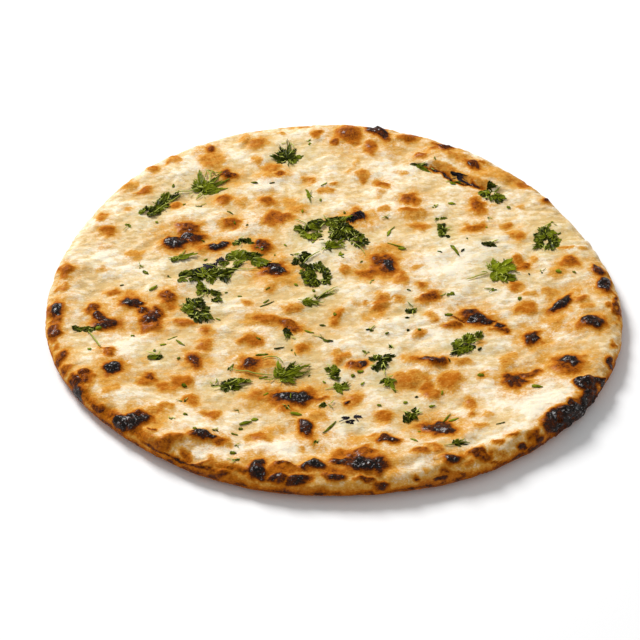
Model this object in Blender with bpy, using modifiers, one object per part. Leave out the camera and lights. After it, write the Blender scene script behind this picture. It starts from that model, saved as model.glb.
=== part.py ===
"""A round naan with a rolled rim, folds, toasted blisters and coriander leaves on top.

Sizes are in millimetres here, and MM turns them into metres as the meshes are made.
+Z is up, the underside lies at z = 0, and the bread's box is centred on x = y = 0.
Bearings are in degrees from +X, counted towards +Y. The front of the bread is at -Y.
"""

import math

import bmesh
import bpy
import numpy as np
from mathutils import Vector
from mathutils.bvhtree import BVHTree

MM = 0.001

# Outline from above: a mean radius and a few long waves (waves round, height, bearing of a peak)
MEAN_RADIUS = 138.3
OUTLINE_WAVES = ((1, 1.5, -97), (2, 2.4, -25), (3, 2.6, -27), (5, 0.7, -18), (7, 0.6, -8))

# Cross-section: the side is rounded above and below its widest line, and the rim is thicker in front
MIDDLE_HEIGHT = 7.8
SIDE_HEIGHT = 4.8
TOP_ROUND = 9.0
UNDER_ROUND = 7.0
RIM_FADE = 26.0
RIM_CREST = ((-180, 8.8), (-135, 11.0), (-90, 12.2), (-45, 12.6), (0, 9.8), (90, 9.2))
EDGE_LIFT = {"bearing": 176.0, "half_width": 13.0, "height": 1.6, "reach": 24.0}

# Soft pillows of the stretched dough (spacing, height), drawn out along the way it was stretched
PILLOWS = ((36.0, 1.1), (17.0, 0.7), (9.0, 0.35))
STRETCH_BEARING = 12.0
STRETCH_RATIO = 1.7
PILLOW_SEED = 5
LATTICE_SIZE = 64

# The flap of dough folded over at the back right: its free edge, with the rim on its left side
FLAP_EDGE = ((42, 99), (59, 93), (64, 87), (75, 80), (85, 73), (92, 70), (103, 69))
FLAP = {"step": 2.8, "start": -0.6, "rise": 2.6, "crest": 2.0, "fall": 17.0}
FLAP_GROOVE = {"place": -2.0, "depth": 0.6, "width": 2.4}

# The small fold at the front left and the smooth pocket between it and the rim
FOLD_RIDGE = ((-92, -100), (-86, -103), (-78, -110), (-66, -109.5), (-57, -107), (-47, -110))
FOLD_HEIGHT = 1.9
FOLD_WIDTH = 3.6
POCKET = {"place": (-38.0, -116.5), "half": (36.0, 6.5), "depth": 1.5, "width": 0.85}

# The crease along the inside of the thick rim at the front right
RIM_CREASE = ((12, -130), (25, -127), (45, -121), (60, -112), (80, -103), (95, -96))
CREASE_DEPTH = 1.2
CREASE_WIDTH = 3.0

# A fold fades out over this share of its length at either end
FADING_SHARE = 0.25

# The larger blisters (x, y, half length, half width, bearing of the length, toasting from 0 to 1)
BLISTERS = (
    (-66, 109, 5, 6, 0, 0.75), (-53, 87, 5, 3, -45, 0.75), (-51, 47, 5, 4, 0, 0.65), (-108, 77, 4, 5, 0, 0.4),
    (9, 123, 6, 8, 0, 0.9), (25, 124, 10, 4, -60, 0.9), (44, 119, 5, 4.5, 0, 0.65), (-39, 118, 4, 4.5, 0, 0.5),
    (18, 86, 3, 4.5, 0, 0.65), (40, 66, 4, 4, 0, 0.7), (-34, 66, 4.5, 4.5, 0, 0.65), (-30, 52, 6, 4.5, 0, 0.65),
    (76, 93, 6, 3.5, -50, 0.8), (103, 76, 5, 4, 0, 0.55), (76, 60, 3.5, 7, 0, 0.7), (65, 112, 4, 4, 0, 0.65),
    (-116, 39, 3.5, 4.5, 0, 0.6), (-75, 37, 9, 7, 0, 0.85), (-132, 5, 4, 4.5, 0, 0.8), (-134, -24, 4, 7, 0, 0.9),
    (-97, -17, 10, 3, -30, 0.85), (-87, -28, 6, 5, 0, 0.85), (-110, -29, 6, 4, 0, 0.8), (-79, -12, 4, 5, 0, 0.65),
    (-36, 29, 4.5, 5, 0, 0.6), (25, 13, 9, 7, 0, 0.95), (-27, 8, 5, 4, 0, 0.95), (46, -12, 4, 4, 0, 0.7),
    (-29, -28, 11, 5, -15, 0.55), (-37, -43, 4.5, 3, 0, 0.6), (76, 42, 4.5, 3, 0, 0.65), (97, 13, 4, 4, 0, 0.7),
    (119, 12, 4, 4, 0, 0.75), (133, 0, 3, 8, 0, 1.0), (112, -18, 7, 3, 47, 1.0), (124, -32, 6, 3.5, 15, 0.95),
    (71, -26, 9, 5, -20, 0.9), (96, -41, 4, 4.5, 0, 0.95), (83, -36, 4, 2, 0, 0.75), (94, -21, 5, 4, 0, 0.5),
    (-103, -65, 4, 4.5, 0, 1.0), (-117, -75, 5, 7, -50, 0.8), (-96, -98, 6, 4, 0, 1.0), (-87, -99, 6, 5, 0, 1.0),
    (-65, -57, 4, 4.5, 0, 0.85), (-107, -89, 4, 3, 0, 0.7), (-57, -107, 6, 3, 0, 0.95), (-39, -59, 5, 4, 0, 0.8),
    (-18, -81, 10, 4, 0, 1.0), (-12, -101, 6, 3.5, -60, 0.9), (46, -57, 6, 3, 0, 0.8), (40, -71, 9, 5, 0, 0.6),
    (85, -71, 5, 5, 0, 0.75), (110, -59, 6, 4, -35, 1.0), (47, -101, 7, 4, 0, 0.95), (23, -108, 4, 2.5, 0, 0.85),
    (15, -126, 8, 4, 0, 1.0), (-11, -124, 8, 3, 0, 1.0), (-34, -127, 6, 5, 0, 0.95), (-52, -125, 7, 2.5, 0, 0.7),
    (52, -121, 5, 3, 0, 0.95), (66, -120, 6, 3, 0, 0.9), (-18, -132, 6, 3, 0, 0.9), (5, -133, 7, 2.5, 0, 0.9),
    (53, -73, 6, 5, 0, 0.5), (84, -108, 6, 4, 25, 0.75), (129, -59, 3, 4, 0, 0.85), (117, -75, 7, 6, 65, 1.0),
    (116, -84, 8, 6, 60, 1.0), (102, -98, 9, 6, 40, 1.0), (108, -90, 5, 4, 40, 1.0),
)
BLISTER_HEIGHT = 2.1
BLISTER_SPREAD = 1.35
BLISTER_ROUNDING = 1.5
FULL_BLISTER = 4.5

# Chopped coriander too small for a solid of its own (x, y, length, width, bearing), pressed into the crust
FLECKS = (
    (-107, 41, 6, 4, 50), (-69, 59, 6, 3, 10), (-13, 115, 3, 6, 0), (28, 50, 5, 3, 60), (54, 58, 5, 3, 20),
    (-97, 12, 5, 3, -70), (-90, -6, 5, 3, 20), (-74, -45, 6, 3, -50), (-33, -18, 8, 3, 25), (-5, -42, 7, 3, -20),
    (17, -36, 6, 4, 10), (30, -22, 7, 4, 65), (27, -48, 3, 5, 0), (32, 40, 8, 3, 50), (32, 25, 8, 3, -30),
    (77, -8, 6, 4, 15), (56, -12, 7, 5, 35), (104, 5, 4, 5, 0), (-56, -71, 5, 4, 0), (-69, -83, 6, 4, -10),
    (-40, -98, 6, 3, 25), (-44, -106, 5, 3, 0), (-44, -122, 6, 4, 10), (-34, -54, 7, 2.5, 5), (-18, -92, 6, 3, 0),
    (-8, -111, 5, 4, 30), (51, -95, 7, 3, 60), (93, -76, 5, 3, 0), (34, -111, 5, 3, 50), (-4, -86, 6, 5, 0),
)
FLECK_PROUD = 0.8

# Coriander leaves (name, x, y, length, width, bearing of the length, lobes); a later one lies on an earlier
LEAVES = (
    ("back_left", -66.5, 77, 25, 20, 60, 5), ("far_left", -90, 61, 28, 10, 52, 4), ("back", -25, 106, 25, 18, 85, 5),
    ("band_end", -76, 18, 14, 8, 45, 3), ("band_left", -61.5, 3.5, 32, 13, 6, 5), ("band_right", -44, 16, 26, 13, -5, 5),
    ("band_charred", -61.5, 11.5, 17, 7, 38, 3), ("below_band", -66, -22, 22, 13, -50, 5),
    ("below_band_tip", -61, -10, 18, 9, -40, 3), ("middle_back", -2, 46, 25, 10, 8, 4),
    ("middle_grey", -12, 37, 16, 14, 15, 5), ("middle_dark", 3, 37, 18, 13, 50, 4),
    ("middle_right", 11, 33, 18, 12, -40, 4), ("middle_front", 0, 26, 15, 9, 20, 3),
    ("middle_charred", 12, 49, 10, 7, 25, 3), ("centre_stalk", -16, 16, 13, 8, 70, 3), ("centre", -9, 4, 20, 16, -60, 5),
    ("centre_strand", -4, -11, 11, 4.5, 40, 3), ("centre_tip", -11, -17, 12, 7, 10, 4), ("crumpled", -46, 30, 12, 7, 0, 4),
    ("left", -119.5, -37, 12, 6, 0, 3), ("right_back", 57.5, 38, 14, 8, 90, 4), ("right_small", 80, 26, 9, 6, 0, 3),
    ("far_right", 109, 29, 19, 15, 70, 5), ("right", 83, 6, 20, 17, 70, 5), ("flap_back", 49, 92.0, 14, 5, -20, 3),
    ("flap_middle", 66, 80, 16, 5, -36, 3), ("flap_front", 84, 64, 15, 10, -60, 4), ("front_right", 62.5, -46, 24, 11, 40, 5),
    ("front_left", -47, -73, 18, 9, 10, 4), ("front", -22, -65, 24, 15, 30, 5), ("front_mid", -1, -65, 10, 7, 90, 3),
    ("front_low", 2, -75, 11, 8, 20, 3), ("front_dark", 21, -58, 15, 11, 70, 5), ("front_pale", 24, -71, 14, 8, -75, 4),
    ("oval", -22, -40, 9, 6, -50, 3), ("left_front", -84, -54, 8, 6, 10, 3), ("bright", 37.5, -21.5, 9, 6, 80, 3),
    ("front_charred", 7, -96, 11, 6, 10, 3), ("front_edge", 34, -93, 11, 8, 30, 3), ("rim_front", 53, -113.5, 11, 4, 15, 3),
    ("shred", -12, 68.5, 13, 4, -72, 3),
)
CHARRED_LEAVES = ("band_charred", "middle_charred", "front_charred", "flap_middle")
LEAF_THICKNESS = 0.5
LEAF_GAP = 0.4

# Waves of a leaf: their height, and how fast they follow each other along and across it (radians per mm)
LEAF_WAVE = 0.5
WAVES_ALONG = 0.9
WAVES_ACROSS = 0.8

# A leaf's outline: lobes, and smaller waves (waves round, share of the reach) whose phase follows its bearing
LOBE_DEPTH = 0.22
POINTS_PER_LOBE = 3
LOBE_VARIETY = ((2.4, 0.14), (5.3, 0.12))
PHASE_PER_BEARING = 3

# How a leaf finds what it lies on: rays from above, round each point and all over each triangle
RAY_START = 1.0
LOOK_AROUND = 1.6
LOOK_BEARINGS = 8
TRIES_PER_SIDE = 4

# How finely the bread is sampled, and how many triangles are kept where it is flattest
GRID_STEPS = 130
RIM_CROWDING = 1.35
BREAD_TRIANGLES = 8000
PLACE_STEP = 0.0001
WELD_DISTANCE = 0.01
SHARP_ANGLE = 40.0

# Materials: name, colour and roughness
BREAD_LOOK = ("Toasted bread", (0.84, 0.62, 0.33, 1.0), 0.6)
LEAF_LOOK = ("Coriander", (0.07, 0.12, 0.02, 1.0), 0.45)
CHARRED_LOOK = ("Charred coriander", (0.03, 0.02, 0.015, 1.0), 0.5)


def smooth(t):
    """Ease from 0 to 1 as t goes from 0 to 1."""
    t = np.clip(t, 0.0, 1.0)
    return t * t * (3.0 - 2.0 * t)


def outline_radius(bearing):
    """Distance from the middle to the outline at a bearing in radians."""
    radius = np.full_like(bearing, MEAN_RADIUS)
    for waves, height, peak in OUTLINE_WAVES:
        radius += height * np.cos(waves * (bearing - math.radians(peak)))
    return radius


def rim_crest(bearing):
    """Height of the rim's crest, eased from one given bearing to the next."""
    turn = (np.degrees(bearing) - RIM_CREST[0][0]) % 360.0
    crest = np.zeros_like(bearing)
    following = RIM_CREST[1:] + ((RIM_CREST[0][0] + 360, RIM_CREST[0][1]),)
    for (start, low), (end, high) in zip(RIM_CREST, following):
        start, end = start - RIM_CREST[0][0], end - RIM_CREST[0][0]
        inside = (turn >= start) & (turn < end)
        crest = np.where(inside, low + (high - low) * smooth((turn - start) / (end - start)), crest)
    return crest


def lattice_noise(x, y, spacing, seed):
    """Smooth random heights between -1 and 1 on a square lattice of the given spacing."""
    size = LATTICE_SIZE
    lattice = np.random.default_rng(seed).uniform(-1.0, 1.0, (size, size))
    column, row = x / spacing + size / 2, y / spacing + size / 2
    left, low = np.floor(column).astype(int), np.floor(row).astype(int)
    across, up = smooth(column - left), smooth(row - low)
    near = lattice[low % size, left % size] * (1 - across) + lattice[low % size, (left + 1) % size] * across
    far = lattice[(low + 1) % size, left % size] * (1 - across) + lattice[(low + 1) % size, (left + 1) % size] * across
    return near * (1 - up) + far * up


def pillows(x, y):
    """Soft unevenness of the dough, longer along the way that it was stretched."""
    turn = math.radians(STRETCH_BEARING)
    along = (x * math.cos(turn) + y * math.sin(turn)) / STRETCH_RATIO
    across = y * math.cos(turn) - x * math.sin(turn)
    height = np.zeros_like(x)
    for number, (spacing, amount) in enumerate(PILLOWS):
        height += amount * lattice_noise(along, across, spacing, PILLOW_SEED + number)
    return height


def path_distance(x, y, path):
    """Signed distance to a path, positive on its left, and a factor that fades at the path's two ends."""
    nearest = np.full_like(x, np.inf)
    signed = np.zeros_like(x)
    along = np.zeros_like(x)
    covered = 0.0
    for (x0, y0), (x1, y1) in zip(path, path[1:]):
        length = math.hypot(x1 - x0, y1 - y0)
        dx, dy = (x1 - x0) / length, (y1 - y0) / length
        step = np.clip((x - x0) * dx + (y - y0) * dy, 0.0, length)
        off_x, off_y = x - x0 - step * dx, y - y0 - step * dy
        distance = np.hypot(off_x, off_y)
        closer = distance < nearest
        side = np.where(dx * off_y - dy * off_x >= 0.0, 1.0, -1.0)
        nearest = np.where(closer, distance, nearest)
        signed = np.where(closer, side * distance, signed)
        along = np.where(closer, covered + step, along)
        covered += length
    fading = FADING_SHARE * covered
    return signed, smooth(along / fading) * smooth((covered - along) / fading)


def bell(distance, width):
    """A bump that is 1 at the middle and has faded at two widths."""
    return np.exp(-((distance / width) ** 2))


def folds(x, y):
    """The flap, the small fold with its pocket, and the crease inside the thick rim."""
    flap, flap_fade = path_distance(x, y, FLAP_EDGE)
    lip = FLAP["step"] * smooth((flap - FLAP["start"]) / FLAP["rise"])
    lip *= bell(np.maximum(flap - FLAP["crest"], 0.0), FLAP["fall"])
    groove = FLAP_GROOVE["depth"] * bell(flap - FLAP_GROOVE["place"], FLAP_GROOVE["width"])
    height = flap_fade * (lip - groove)
    ridge, ridge_fade = path_distance(x, y, FOLD_RIDGE)
    height += ridge_fade * FOLD_HEIGHT * bell(ridge, FOLD_WIDTH)
    pocket_x, pocket_y = POCKET["place"]
    half_x, half_y = POCKET["half"]
    reach = np.hypot((x - pocket_x) / half_x, (y - pocket_y) / half_y)
    height -= POCKET["depth"] * bell(reach, POCKET["width"])
    crease, crease_fade = path_distance(x, y, RIM_CREASE)
    height -= crease_fade * CREASE_DEPTH * bell(crease, CREASE_WIDTH)
    return height


def blisters(x, y):
    """Bubbles that rose and toasted: the darker and the larger, the higher."""
    height = np.zeros_like(x)
    for place_x, place_y, half_length, half_width, bearing, toasting in BLISTERS:
        turn = math.radians(bearing)
        along = (x - place_x) * math.cos(turn) + (y - place_y) * math.sin(turn)
        across = (y - place_y) * math.cos(turn) - (x - place_x) * math.sin(turn)
        reach = np.hypot(along / half_length, across / half_width) / BLISTER_SPREAD
        size = min(1.0, math.sqrt(half_length * half_width) / FULL_BLISTER)
        dome = np.clip(1.0 - reach**2, 0.0, 1.0) ** BLISTER_ROUNDING
        height = np.maximum(height, BLISTER_HEIGHT * toasting * size * dome)
    return height


def quarter_round(inset, reach):
    """Rise of a rounded edge from 0 at the outline to 1 at the given reach."""
    t = np.clip(inset / reach, 0.0, 1.0)
    return np.sqrt(1.0 - (1.0 - t) ** 2)


def edge_lift(bearing, inset):
    """How far the edge stands off what the bread lies on."""
    turn = (np.degrees(bearing) - EDGE_LIFT["bearing"] + 180.0) % 360.0 - 180.0
    return EDGE_LIFT["height"] * bell(turn, EDGE_LIFT["half_width"]) * (1.0 - smooth(inset / EDGE_LIFT["reach"]))


def top_height(x, y):
    """Height of the upper surface."""
    bearing = np.arctan2(y, x)
    inset = np.maximum(outline_radius(bearing) - np.hypot(x, y), 0.0)
    crest = rim_crest(bearing)
    body = crest + (MIDDLE_HEIGHT - crest) * smooth((inset - TOP_ROUND) / RIM_FADE)
    relief = pillows(x, y) + folds(x, y) + blisters(x, y)
    rise = quarter_round(inset, TOP_ROUND)
    return SIDE_HEIGHT + (body - SIDE_HEIGHT + relief) * rise + edge_lift(bearing, inset)


def under_height(x, y):
    """Height of the underside: flat, with a rounded edge that lifts in one place."""
    bearing = np.arctan2(y, x)
    inset = np.maximum(outline_radius(bearing) - np.hypot(x, y), 0.0)
    return SIDE_HEIGHT * (1.0 - quarter_round(inset, UNDER_ROUND)) + edge_lift(bearing, inset)


def square_to_disc(u, v):
    """Turn a square from -1 to 1 into bearings and a share of the radius, ring by ring."""
    share = np.maximum(np.abs(u), np.abs(v))
    wide = np.abs(u) > np.abs(v)
    ratio = np.where(wide, v, u) / np.where(share > 0.0, np.where(wide, u, v), 1.0)
    bearing = np.where(wide, ratio * math.pi / 4, math.pi / 2 - ratio * math.pi / 4)
    turned = np.where(wide, u < 0.0, v < 0.0)
    return bearing + np.where(turned, math.pi, 0.0), share


def add_material(obj, name, colour, roughness):
    """Give an object a plain Principled material."""
    material = bpy.data.materials.get(name) or bpy.data.materials.new(name)
    material.use_nodes = True
    shader = material.node_tree.nodes["Principled BSDF"]
    shader.inputs["Base Color"].default_value = colour
    shader.inputs["Roughness"].default_value = roughness
    shader.inputs["Metallic"].default_value = 0.0
    material.diffuse_color = colour
    obj.data.materials.append(material)


def new_object(name, mesh, collection):
    """Link a mesh to a collection as an object with its own name."""
    obj = bpy.data.objects.new(name, mesh)
    collection.objects.link(obj)
    return obj


def evaluated_mesh(obj):
    """The object's mesh with its modifiers applied."""
    bpy.context.view_layer.update()
    return bpy.data.meshes.new_from_object(obj.evaluated_get(bpy.context.evaluated_depsgraph_get()))


def apply_modifiers(obj):
    """Replace an object's mesh by its evaluated one."""
    mesh = evaluated_mesh(obj)
    old = obj.data
    obj.modifiers.clear()
    obj.data = mesh
    bpy.data.meshes.remove(old)


def two_sheets():
    """Two square grids that share their rim once they are rounded: the top one and the under one."""
    bm = bmesh.new()
    for height, flipped in ((1.0, False), (-1.0, True)):
        sheet = bmesh.ops.create_grid(bm, x_segments=GRID_STEPS, y_segments=GRID_STEPS, size=1.0)
        for vertex in sheet["verts"]:
            vertex.co.z = height
        if flipped:
            faces = {face for vertex in sheet["verts"] for face in vertex.link_faces}
            bmesh.ops.reverse_faces(bm, faces=list(faces))
    mesh = bpy.data.meshes.new("naan")
    bm.to_mesh(mesh)
    bm.free()
    return mesh


def shape_sheets(mesh):
    """Move both sheets to the bread's surfaces, weld them at the rim and centre the bread."""
    points = np.empty(len(mesh.vertices) * 3, dtype=np.float32)
    mesh.vertices.foreach_get("co", points)
    points = points.reshape(-1, 3).astype(float)
    bearing, share = square_to_disc(points[:, 0], points[:, 1])
    radius = outline_radius(bearing) * (1.0 - (1.0 - share) ** RIM_CROWDING)
    x, y = radius * np.cos(bearing), radius * np.sin(bearing)
    z = np.where(points[:, 2] > 0.0, top_height(x, y), under_height(x, y))
    placed = np.stack([x, y, z], axis=1)
    placed[:, :2] -= (placed[:, :2].max(axis=0) + placed[:, :2].min(axis=0)) / 2
    placed = np.round(placed / PLACE_STEP) * PLACE_STEP * MM
    mesh.vertices.foreach_set("co", placed.astype(np.float32).ravel())
    bm = bmesh.new()
    bm.from_mesh(mesh)
    rim = [vertex for vertex in bm.verts if vertex.is_boundary]
    bmesh.ops.remove_doubles(bm, verts=rim, dist=WELD_DISTANCE * MM)
    bmesh.ops.triangulate(bm, faces=bm.faces)
    bm.to_mesh(mesh)
    bm.free()


def keep_triangles(obj, wanted):
    """Keep about the wanted number of triangles, most of them where the surface bends."""
    decimate = obj.modifiers.new("Fewer triangles", "DECIMATE")
    decimate.ratio = wanted / len(obj.data.polygons)
    decimate.use_collapse_triangulate = True
    apply_modifiers(obj)


def surface_tree(objects):
    """A search tree over the triangles of some objects."""
    points, triangles = [], []
    for obj in objects:
        offset = len(points)
        points += [vertex.co.copy() for vertex in obj.data.vertices]
        triangles += [[offset + index for index in face.vertices] for face in obj.data.polygons]
    return BVHTree.FromPolygons(points, triangles)


def height_at(tree, x, y):
    """Height of the highest surface under a place, in metres."""
    hit = tree.ray_cast(Vector((x, y, RAY_START)), Vector((0.0, 0.0, -1.0)))[0]
    return hit.z if hit else 0.0


def highest_around(tree, x, y, reach):
    """Height of the highest surface within a small reach of a place."""
    turns = np.arange(LOOK_BEARINGS) * 2 * math.pi / LOOK_BEARINGS
    ring = [(x + reach * math.cos(turn), y + reach * math.sin(turn)) for turn in turns]
    return max(height_at(tree, px, py) for px, py in [(x, y)] + ring)


def fuse_flecks(bread, cutters):
    """Press the small flecks into the crust and join them to it."""
    tree = surface_tree([bread])
    for number, (x, y, length, width, bearing) in enumerate(FLECKS, 1):
        bm = bmesh.new()
        bmesh.ops.create_icosphere(bm, subdivisions=1, radius=1.0)
        size = Vector((length / 2 * MM, width / 2 * MM, FLECK_PROUD * MM))
        bmesh.ops.scale(bm, vec=size, verts=bm.verts)
        mesh = bpy.data.meshes.new("fleck")
        bm.to_mesh(mesh)
        bm.free()
        fleck = new_object(f"fleck_{number:02d}", mesh, cutters)
        add_material(fleck, *LEAF_LOOK)
        fleck.location = (x * MM, y * MM, height_at(tree, x * MM, y * MM))
        fleck.rotation_euler.z = math.radians(bearing)
        fleck.hide_render = True
        fleck.display_type = "WIRE"
    union = bread.modifiers.new("Flecks", "BOOLEAN")
    union.operation = "UNION"
    union.operand_type = "COLLECTION"
    union.collection = cutters
    union.solver = "EXACT"
    union.material_mode = "TRANSFER"
    apply_modifiers(bread)
    for fleck in list(cutters.objects):
        bpy.data.objects.remove(fleck)


def leaf_outline(length, width, lobes, phase):
    """Places of a flat lobed leaf: its middle, a ring half-way out and its toothed outline."""
    count = lobes * POINTS_PER_LOBE
    places = [(0.0, 0.0)]
    for share in (0.5, 1.0):
        for step in range(count):
            turn = 2 * math.pi * step / count
            lobe = 1.0 - share * LOBE_DEPTH * (1.0 - math.cos(lobes * turn))
            variety = 1.0 + sum(amount * math.sin(waves * turn + phase) for waves, amount in LOBE_VARIETY)
            reach = share * lobe * variety
            places.append((length / 2 * reach * math.cos(turn), width / 2 * reach * math.sin(turn)))
    return places, count


def leaf_sheet(places, count):
    """Triangles between the middle, the ring and the outline, on a disc of triangles."""
    bm = bmesh.new()
    vertices = [bm.verts.new((x, y, 0.0)) for x, y in places]
    for step in range(count):
        following = (step + 1) % count
        inner, inner_next = vertices[1 + step], vertices[1 + following]
        outer, outer_next = vertices[1 + count + step], vertices[1 + count + following]
        bm.faces.new((vertices[0], inner, inner_next))
        bm.faces.new((inner, outer, outer_next))
        bm.faces.new((inner, outer_next, inner_next))
    mesh = bpy.data.meshes.new("leaf")
    bm.to_mesh(mesh)
    bm.free()
    return mesh


def clearance(mesh, tree):
    """Smallest height of a sheet over the surface below it, tried all over each of its triangles."""
    tries = TRIES_PER_SIDE
    shares = [(i / tries, j / tries) for i in range(tries + 1) for j in range(tries + 1 - i)]
    least = math.inf
    for face in mesh.polygons:
        a, b, c = (mesh.vertices[index].co for index in face.vertices)
        for s, t in shares:
            point = a + (b - a) * s + (c - a) * t
            least = min(least, point.z - height_at(tree, point.x, point.y))
    return least


def add_leaf(name, x, y, length, width, bearing, lobes, below, collection):
    """One leaf, laid on what is below it with a small gap and a few waves."""
    phase = math.radians(bearing * PHASE_PER_BEARING)
    places, count = leaf_outline(length, width, lobes, phase)
    mesh = leaf_sheet(places, count)
    tree = surface_tree(below)
    turn = math.radians(bearing)
    for vertex in mesh.vertices:
        along, across = vertex.co.x, vertex.co.y
        place_x = (x + along * math.cos(turn) - across * math.sin(turn)) * MM
        place_y = (y + along * math.sin(turn) + across * math.cos(turn)) * MM
        wave = LEAF_WAVE * (1.0 + math.sin(along * WAVES_ALONG + phase) * math.cos(across * WAVES_ACROSS)) / 2
        ground = highest_around(tree, place_x, place_y, LOOK_AROUND * MM)
        vertex.co = (place_x, place_y, ground + (LEAF_GAP + wave) * MM)
    shortfall = LEAF_GAP * MM - clearance(mesh, tree)
    if shortfall > 0.0:
        for vertex in mesh.vertices:
            vertex.co.z += shortfall
    leaf = new_object("coriander_" + name, mesh, collection)
    thicken = leaf.modifiers.new("Thickness", "SOLIDIFY")
    thicken.thickness = LEAF_THICKNESS * MM
    thicken.offset = 1.0
    apply_modifiers(leaf)
    add_material(leaf, *(CHARRED_LOOK if name in CHARRED_LEAVES else LEAF_LOOK))
    leaf.data.shade_smooth()
    return leaf


def main():
    for obj in list(bpy.data.objects):
        bpy.data.objects.remove(obj)
    parts = bpy.data.collections.new("Naan")
    cutters = bpy.data.collections.new("Cutters")
    for collection in (parts, cutters):
        bpy.context.scene.collection.children.link(collection)
    mesh = two_sheets()
    shape_sheets(mesh)
    bread = new_object("naan", mesh, parts)
    add_material(bread, *BREAD_LOOK)
    keep_triangles(bread, BREAD_TRIANGLES)
    fuse_flecks(bread, cutters)
    bread.data.shade_smooth()
    bread.data.set_sharp_from_angle(angle=math.radians(SHARP_ANGLE))
    laid = [bread]
    for leaf in LEAVES:
        laid.append(add_leaf(*leaf, laid, parts))


main()
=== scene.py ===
"""Looks of a round naan with coriander: the toasted bread, its leaves, flecks and stalks, and the stage.

Plan sizes and heights in the tables are in millimetres, and MM turns them into metres. The bread lies flat
with +Z up, and its front is at -Y. Bearings are in degrees from +X, counted towards +Y.
"""

import math

import bmesh
import bpy
import numpy as np
from bpy.props import FloatProperty, FloatVectorProperty, IntProperty, PointerProperty
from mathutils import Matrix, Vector


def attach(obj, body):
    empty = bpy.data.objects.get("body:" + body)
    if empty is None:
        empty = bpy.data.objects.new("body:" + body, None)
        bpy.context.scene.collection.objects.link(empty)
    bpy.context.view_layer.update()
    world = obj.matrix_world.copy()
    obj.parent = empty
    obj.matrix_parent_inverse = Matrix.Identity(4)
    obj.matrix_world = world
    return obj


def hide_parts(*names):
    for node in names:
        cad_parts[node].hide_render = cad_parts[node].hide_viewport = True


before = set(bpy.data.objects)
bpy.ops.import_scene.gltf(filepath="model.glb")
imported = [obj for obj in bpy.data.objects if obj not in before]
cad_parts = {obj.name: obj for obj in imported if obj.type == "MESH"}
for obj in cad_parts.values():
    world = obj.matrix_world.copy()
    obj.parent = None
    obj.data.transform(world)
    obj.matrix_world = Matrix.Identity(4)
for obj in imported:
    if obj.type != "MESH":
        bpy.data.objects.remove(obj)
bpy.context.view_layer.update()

bl_info = {
    "name": "Naan with coriander",
    "version": (1, 0, 0),
    "blender": (4, 5, 0),
    "location": "3D View > Sidebar > Naan",
    "description": "Bakes a round naan and lays chopped coriander on it",
    "category": "Add Mesh",
}

MM = 0.001

# Outline from above (waves round, height, bearing of a peak), and the crest of the rim (bearing, height)
OUTLINE_WAVES = ((1, 1.5, -97), (2, 2.4, -25), (3, 2.6, -27), (5, 0.7, -18), (7, 0.6, -8))
RIM_CREST = ((-180, 8.8), (-135, 11.0), (-90, 12.2), (-45, 12.6), (0, 9.8), (90, 9.2))
# How far in the rounded top, the rounded underside and the rim's slope reach
TOP_ROUND = 9.0
UNDER_ROUND = 7.0
RIM_FADE = 26.0
# Share of the crest's height where the side starts, how low relief dents it, and the greatest height of all
SIDE_FROM = 0.75
DENTS = 0.6
DENT_LEVEL = 0.4
TOP_LIMIT = 14.3
# The fine relief fades out this near the outline
CALM_EDGE = 3.0
EDGE_LIFT = {"bearing": 176.0, "half_width": 13.0, "height": 1.6, "reach": 24.0}

# Soft pillows of the stretched dough (spacing, height), drawn out along the way it was stretched
PILLOWS = ((36.0, 1.1), (17.0, 0.7), (9.0, 0.35))
STRETCH_BEARING = 12.0
STRETCH_RATIO = 1.7
PILLOW_SEED = 5

# The flap at the back right, the fold and its pocket at the front left, the crease at the front right
FLAP_EDGE = ((42, 99), (59, 93), (64, 87), (75, 80), (85, 73), (92, 70), (103, 69))
FLAP_LIP = {"height": 2.8, "from": -0.4, "over": 1.6, "flat": 2.0, "fall": 17.0}
FLAP_GROOVE = {"depth": 0.6, "place": -2.0, "width": 2.4}
FOLD_RIDGE = ((-92, -100), (-86, -103), (-78, -110), (-66, -109.5), (-57, -107), (-47, -110))
FOLD_HEIGHT = 1.9
FOLD_WIDTH = 3.6
POCKET = {"place": (-38.0, -116.5), "half": (36.0, 6.5), "depth": 1.5, "spread": 0.85}
RIM_CREASE = ((12, -130), (25, -127), (45, -121), (60, -112), (80, -103), (95, -96))
CREASE_DEPTH = 1.2
CREASE_WIDTH = 3.0

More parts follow.
